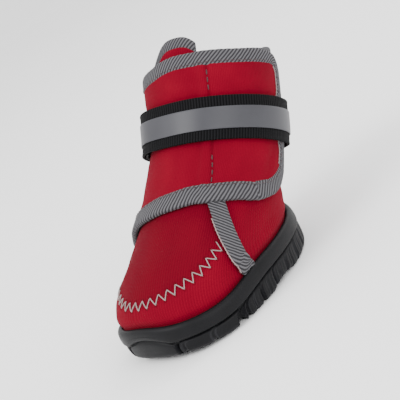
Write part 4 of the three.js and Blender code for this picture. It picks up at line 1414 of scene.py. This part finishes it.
# %% Upright dashes down the flap's seam
dash = model_stitch(2.6 * MM, 0.24 * MM)
dash_places = []
for seam_low, seam_high in ((19.0, 26.5), (45.0, 57.5)):
    dash_v = np.linspace(seam_low, seam_high, 40)
    dash_places += seam_places(seam_theta(dash_v), dash_v, lambda theta, v: flap_off(theta, v) + 0.12, 3.4)
flap_dashes = copies_of(dash, "flap_upright_seam", dash_places, DARK_THREAD)

# %% [markdown]
# A zigzag seam lies on the cloth in straight legs. Each leg is one thread that dips into a needle
# hole at both ends, so the legs are laid as one tube that sinks at its corners.

# %% Helper for a free thread, laid as a tube


THREAD_SIDES = 8


def thread_tube(name, line, normals, radius, material, twist):
    """A round thread through a line of points, in millimetres."""
    tangent = unit(np.gradient(line, axis=0))
    side = unit(np.cross(normals, tangent))
    up = np.cross(tangent, side)
    run = run_along(line)

    def place(s, t):
        k = s.astype(int)
        turn = t / THREAD_SIDES * math.tau
        swell = radius * (1 + twist * np.cos(2 * turn + run[k] * 3.2))
        return (line[k] + side[k] * (np.cos(turn) * swell)[:, None] + up[k] * (np.sin(turn) * swell)[:, None])

    obj, _, _ = laid_grid(
        name, np.arange(len(line)), np.arange(THREAD_SIDES + 1), place,
        lambda s, t: (run[s.astype(int)], t * radius * 0.8),
    )
    close_tube(obj)
    paint(obj, material)
    shade(obj, 80)
    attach(obj, "root")
    report(obj)
    return obj


# %% Zigzag seam over the vamp
ZIG_PITCH = 2.25
ZIG_HALF = 2.1
LEG_STEPS = 9
ZIG_THREAD = 0.26

zig_theta = np.linspace(-76, 67, 430)
zig_line = off_last(zig_theta, zigzag_v(zig_theta), upper_off(zig_theta, zigzag_v(zig_theta)))
zig_run = run_along(zig_line)
corner_run = np.arange(0, zig_run[-1], ZIG_PITCH)
corner_theta = np.interp(corner_run, zig_run, zig_theta)
corner_side = np.where(np.arange(len(corner_run)) % 2 == 0, 1.0, -1.0)
path_t, path_v = offset_path(corner_theta, zigzag_v(corner_theta), corner_side * ZIG_HALF)

leg = np.linspace(0, 1, LEG_STEPS, endpoint=False)
leg_t = np.concatenate([mix(a, b, leg) for a, b in zip(path_t[:-1], path_t[1:])] + [path_t[-1:]])
leg_v = np.concatenate([mix(a, b, leg) for a, b in zip(path_v[:-1], path_v[1:])] + [path_v[-1:]])
dip = np.concatenate([np.abs(2 * leg - 1) ** 5] * (len(path_t) - 1) + [[1.0]])
zig_off = upper_off(leg_t, leg_v) + 0.28 - 0.45 * dip
zigzag_thread = thread_tube(
    "zigzag_thread", off_last(leg_t, leg_v, zig_off), last_frame(leg_t, leg_v)[3],
    ZIG_THREAD, GREY_THREAD, twist=0.12,
)

# %% [markdown]
# At each corner the needle left a small dark hole. One shallow ring of a hole is modelled from a
# circle, pressed in at its middle, and copied to every corner.

# %% Needle holes
clear_selection()
bpy.ops.mesh.primitive_circle_add(vertices=10, radius=0.62 * MM, fill_type="NGON")
hole = bpy.context.active_object
edit(hole, "FACE")
bpy.ops.mesh.select_all(action="SELECT")
bpy.ops.mesh.inset(thickness=0.2 * MM)
bpy.ops.transform.translate(value=(0, 0, -0.10 * MM))
bpy.ops.object.mode_set(mode="OBJECT")
hole_t, hole_v = offset_path(corner_theta, zigzag_v(corner_theta), corner_side * (ZIG_HALF + 0.35))
hole_normal = last_frame(hole_t, hole_v)[3]
hole_point = in_frame(off_last(hole_t, hole_v, upper_off(hole_t, hole_v) + 0.07))
hole_places = [(p, np.cross(n, (0, 0, 1.0)), n) for p, n in zip(hole_point, hole_normal)]
needle_holes = copies_of(hole, "zigzag_needle_holes", hole_places, NEEDLE_HOLE)

# %% Cord along the quarter tape's front edge, and a thread inside the flap's free end


def evenly(values, count):
    """The same run of values, read at count even steps."""
    return np.interp(np.linspace(0, 1, count), np.linspace(0, 1, len(values)), values)


cord_t, cord_v = offset_path(quarter_run, quarter_v, -QUARTER_TAPE / 2 - 0.15)
cord_keep = (cord_v > 1.5) & (cord_v < 14.5)
cord_t, cord_v = evenly(cord_t[cord_keep], 160), evenly(cord_v[cord_keep], 160)
quarter_cord = thread_tube(
    "quarter_twisted_cord", off_last(cord_t, cord_v, cover_rise(cord_t, cord_v) + 0.65),
    last_frame(cord_t, cord_v)[3], 0.32, GREY_THREAD, twist=0.25,
)

end_rows = (tape_theta > 111) & (tape_v > 18) & (tape_v < 60)
end_t, end_v = offset_path(tape_theta, tape_v, tape_width / 2 + 0.1)
end_t, end_v = evenly(end_t[end_rows], 200), evenly(end_v[end_rows], 200)
end_thread = thread_tube(
    "free_end_thread", off_last(end_t, end_v, flap_off(end_t, end_v) + 0.2),
    last_frame(end_t, end_v)[3], 0.22, GREY_THREAD, twist=0.2,
)
for spare in (tape_stitch, dash, hole):
    bpy.data.objects.remove(spare, do_unlink=True)

# %% [markdown]
# ## Studio
# The camera looks at the bootie's outer front, as in the photograph, from a little above. There the
# shoe hangs steeper than it stands on a floor, so the camera is rolled to bring the shaft upright.

# %% Camera
AZIMUTH = 50.0
ELEVATION = 15.5
ROLL = -30.8
DISTANCE = 0.5
LENS = 98.5
AIM = Vector((0.0, 0.0, 0.052))
AIM_RIGHT = 0.0030
AIM_UP = -0.0100

turn, rise = math.radians(AZIMUTH), math.radians(ELEVATION)
toward = Vector((math.sin(turn) * math.cos(rise), -math.cos(turn) * math.cos(rise), math.sin(rise)))
camera_data = bpy.data.cameras.new("photo_camera")
camera_data.lens = LENS
camera_data.sensor_width = 36
camera_data.clip_start = 0.01
camera = bpy.data.objects.new("photo_camera", camera_data)
bpy.context.scene.collection.objects.link(camera)
look = toward.to_track_quat("Z", "Y").to_matrix().to_4x4()
turned = look @ Matrix.Rotation(math.radians(ROLL), 4, "Z")
aim = AIM + (turned.to_3x3() @ Vector((AIM_RIGHT, AIM_UP, 0)))
camera.matrix_world = Matrix.Translation(aim + toward * DISTANCE) @ turned
bpy.context.scene.camera = camera
print("camera at", [round(x, 3) for x in camera.matrix_world.translation])

# %% Floor and light
clear_selection()
bpy.ops.mesh.primitive_plane_add(size=12, location=(0, 0, 0))
floor = bpy.context.active_object
floor.name = "studio_floor"
floor_recipe = Recipe("pale paper sweep", roughness=0.9, specular=0.1)
floor_tone = floor_recipe.noise(floor_recipe.coordinates("Object", (2, 2, 2)), 1.0)
floor_color = floor_recipe.ramp(floor_tone, [(0.3, (0.93, 0.93, 0.93)), (0.7, (0.95, 0.95, 0.95))])
paint(floor, floor_recipe.finish(floor_color))

CENTRE = Vector((0, 0, 0.05))


def soft_light(name, place, size, power):
    data = bpy.data.lights.new(name, "AREA")
    data.shape = "DISK"
    data.size = size
    data.energy = power
    obj = bpy.data.objects.new(name, data)
    bpy.context.scene.collection.objects.link(obj)
    obj.location = place
    obj.rotation_euler = (CENTRE - Vector(place)).to_track_quat("-Z", "Y").to_euler()


soft_light("key", (-0.15, -0.95, 0.95), 0.7, 14)
soft_light("side", (1.0, -0.2, 0.6), 0.8, 6)
soft_light("back", (0.2, 1.0, 0.9), 0.9, 7)
world = bpy.data.worlds.new("white studio")
world.use_nodes = True
world.node_tree.nodes["Background"].inputs["Color"].default_value = (1, 1, 1, 1)
world.node_tree.nodes["Background"].inputs["Strength"].default_value = 1.8
bpy.context.scene.world = world
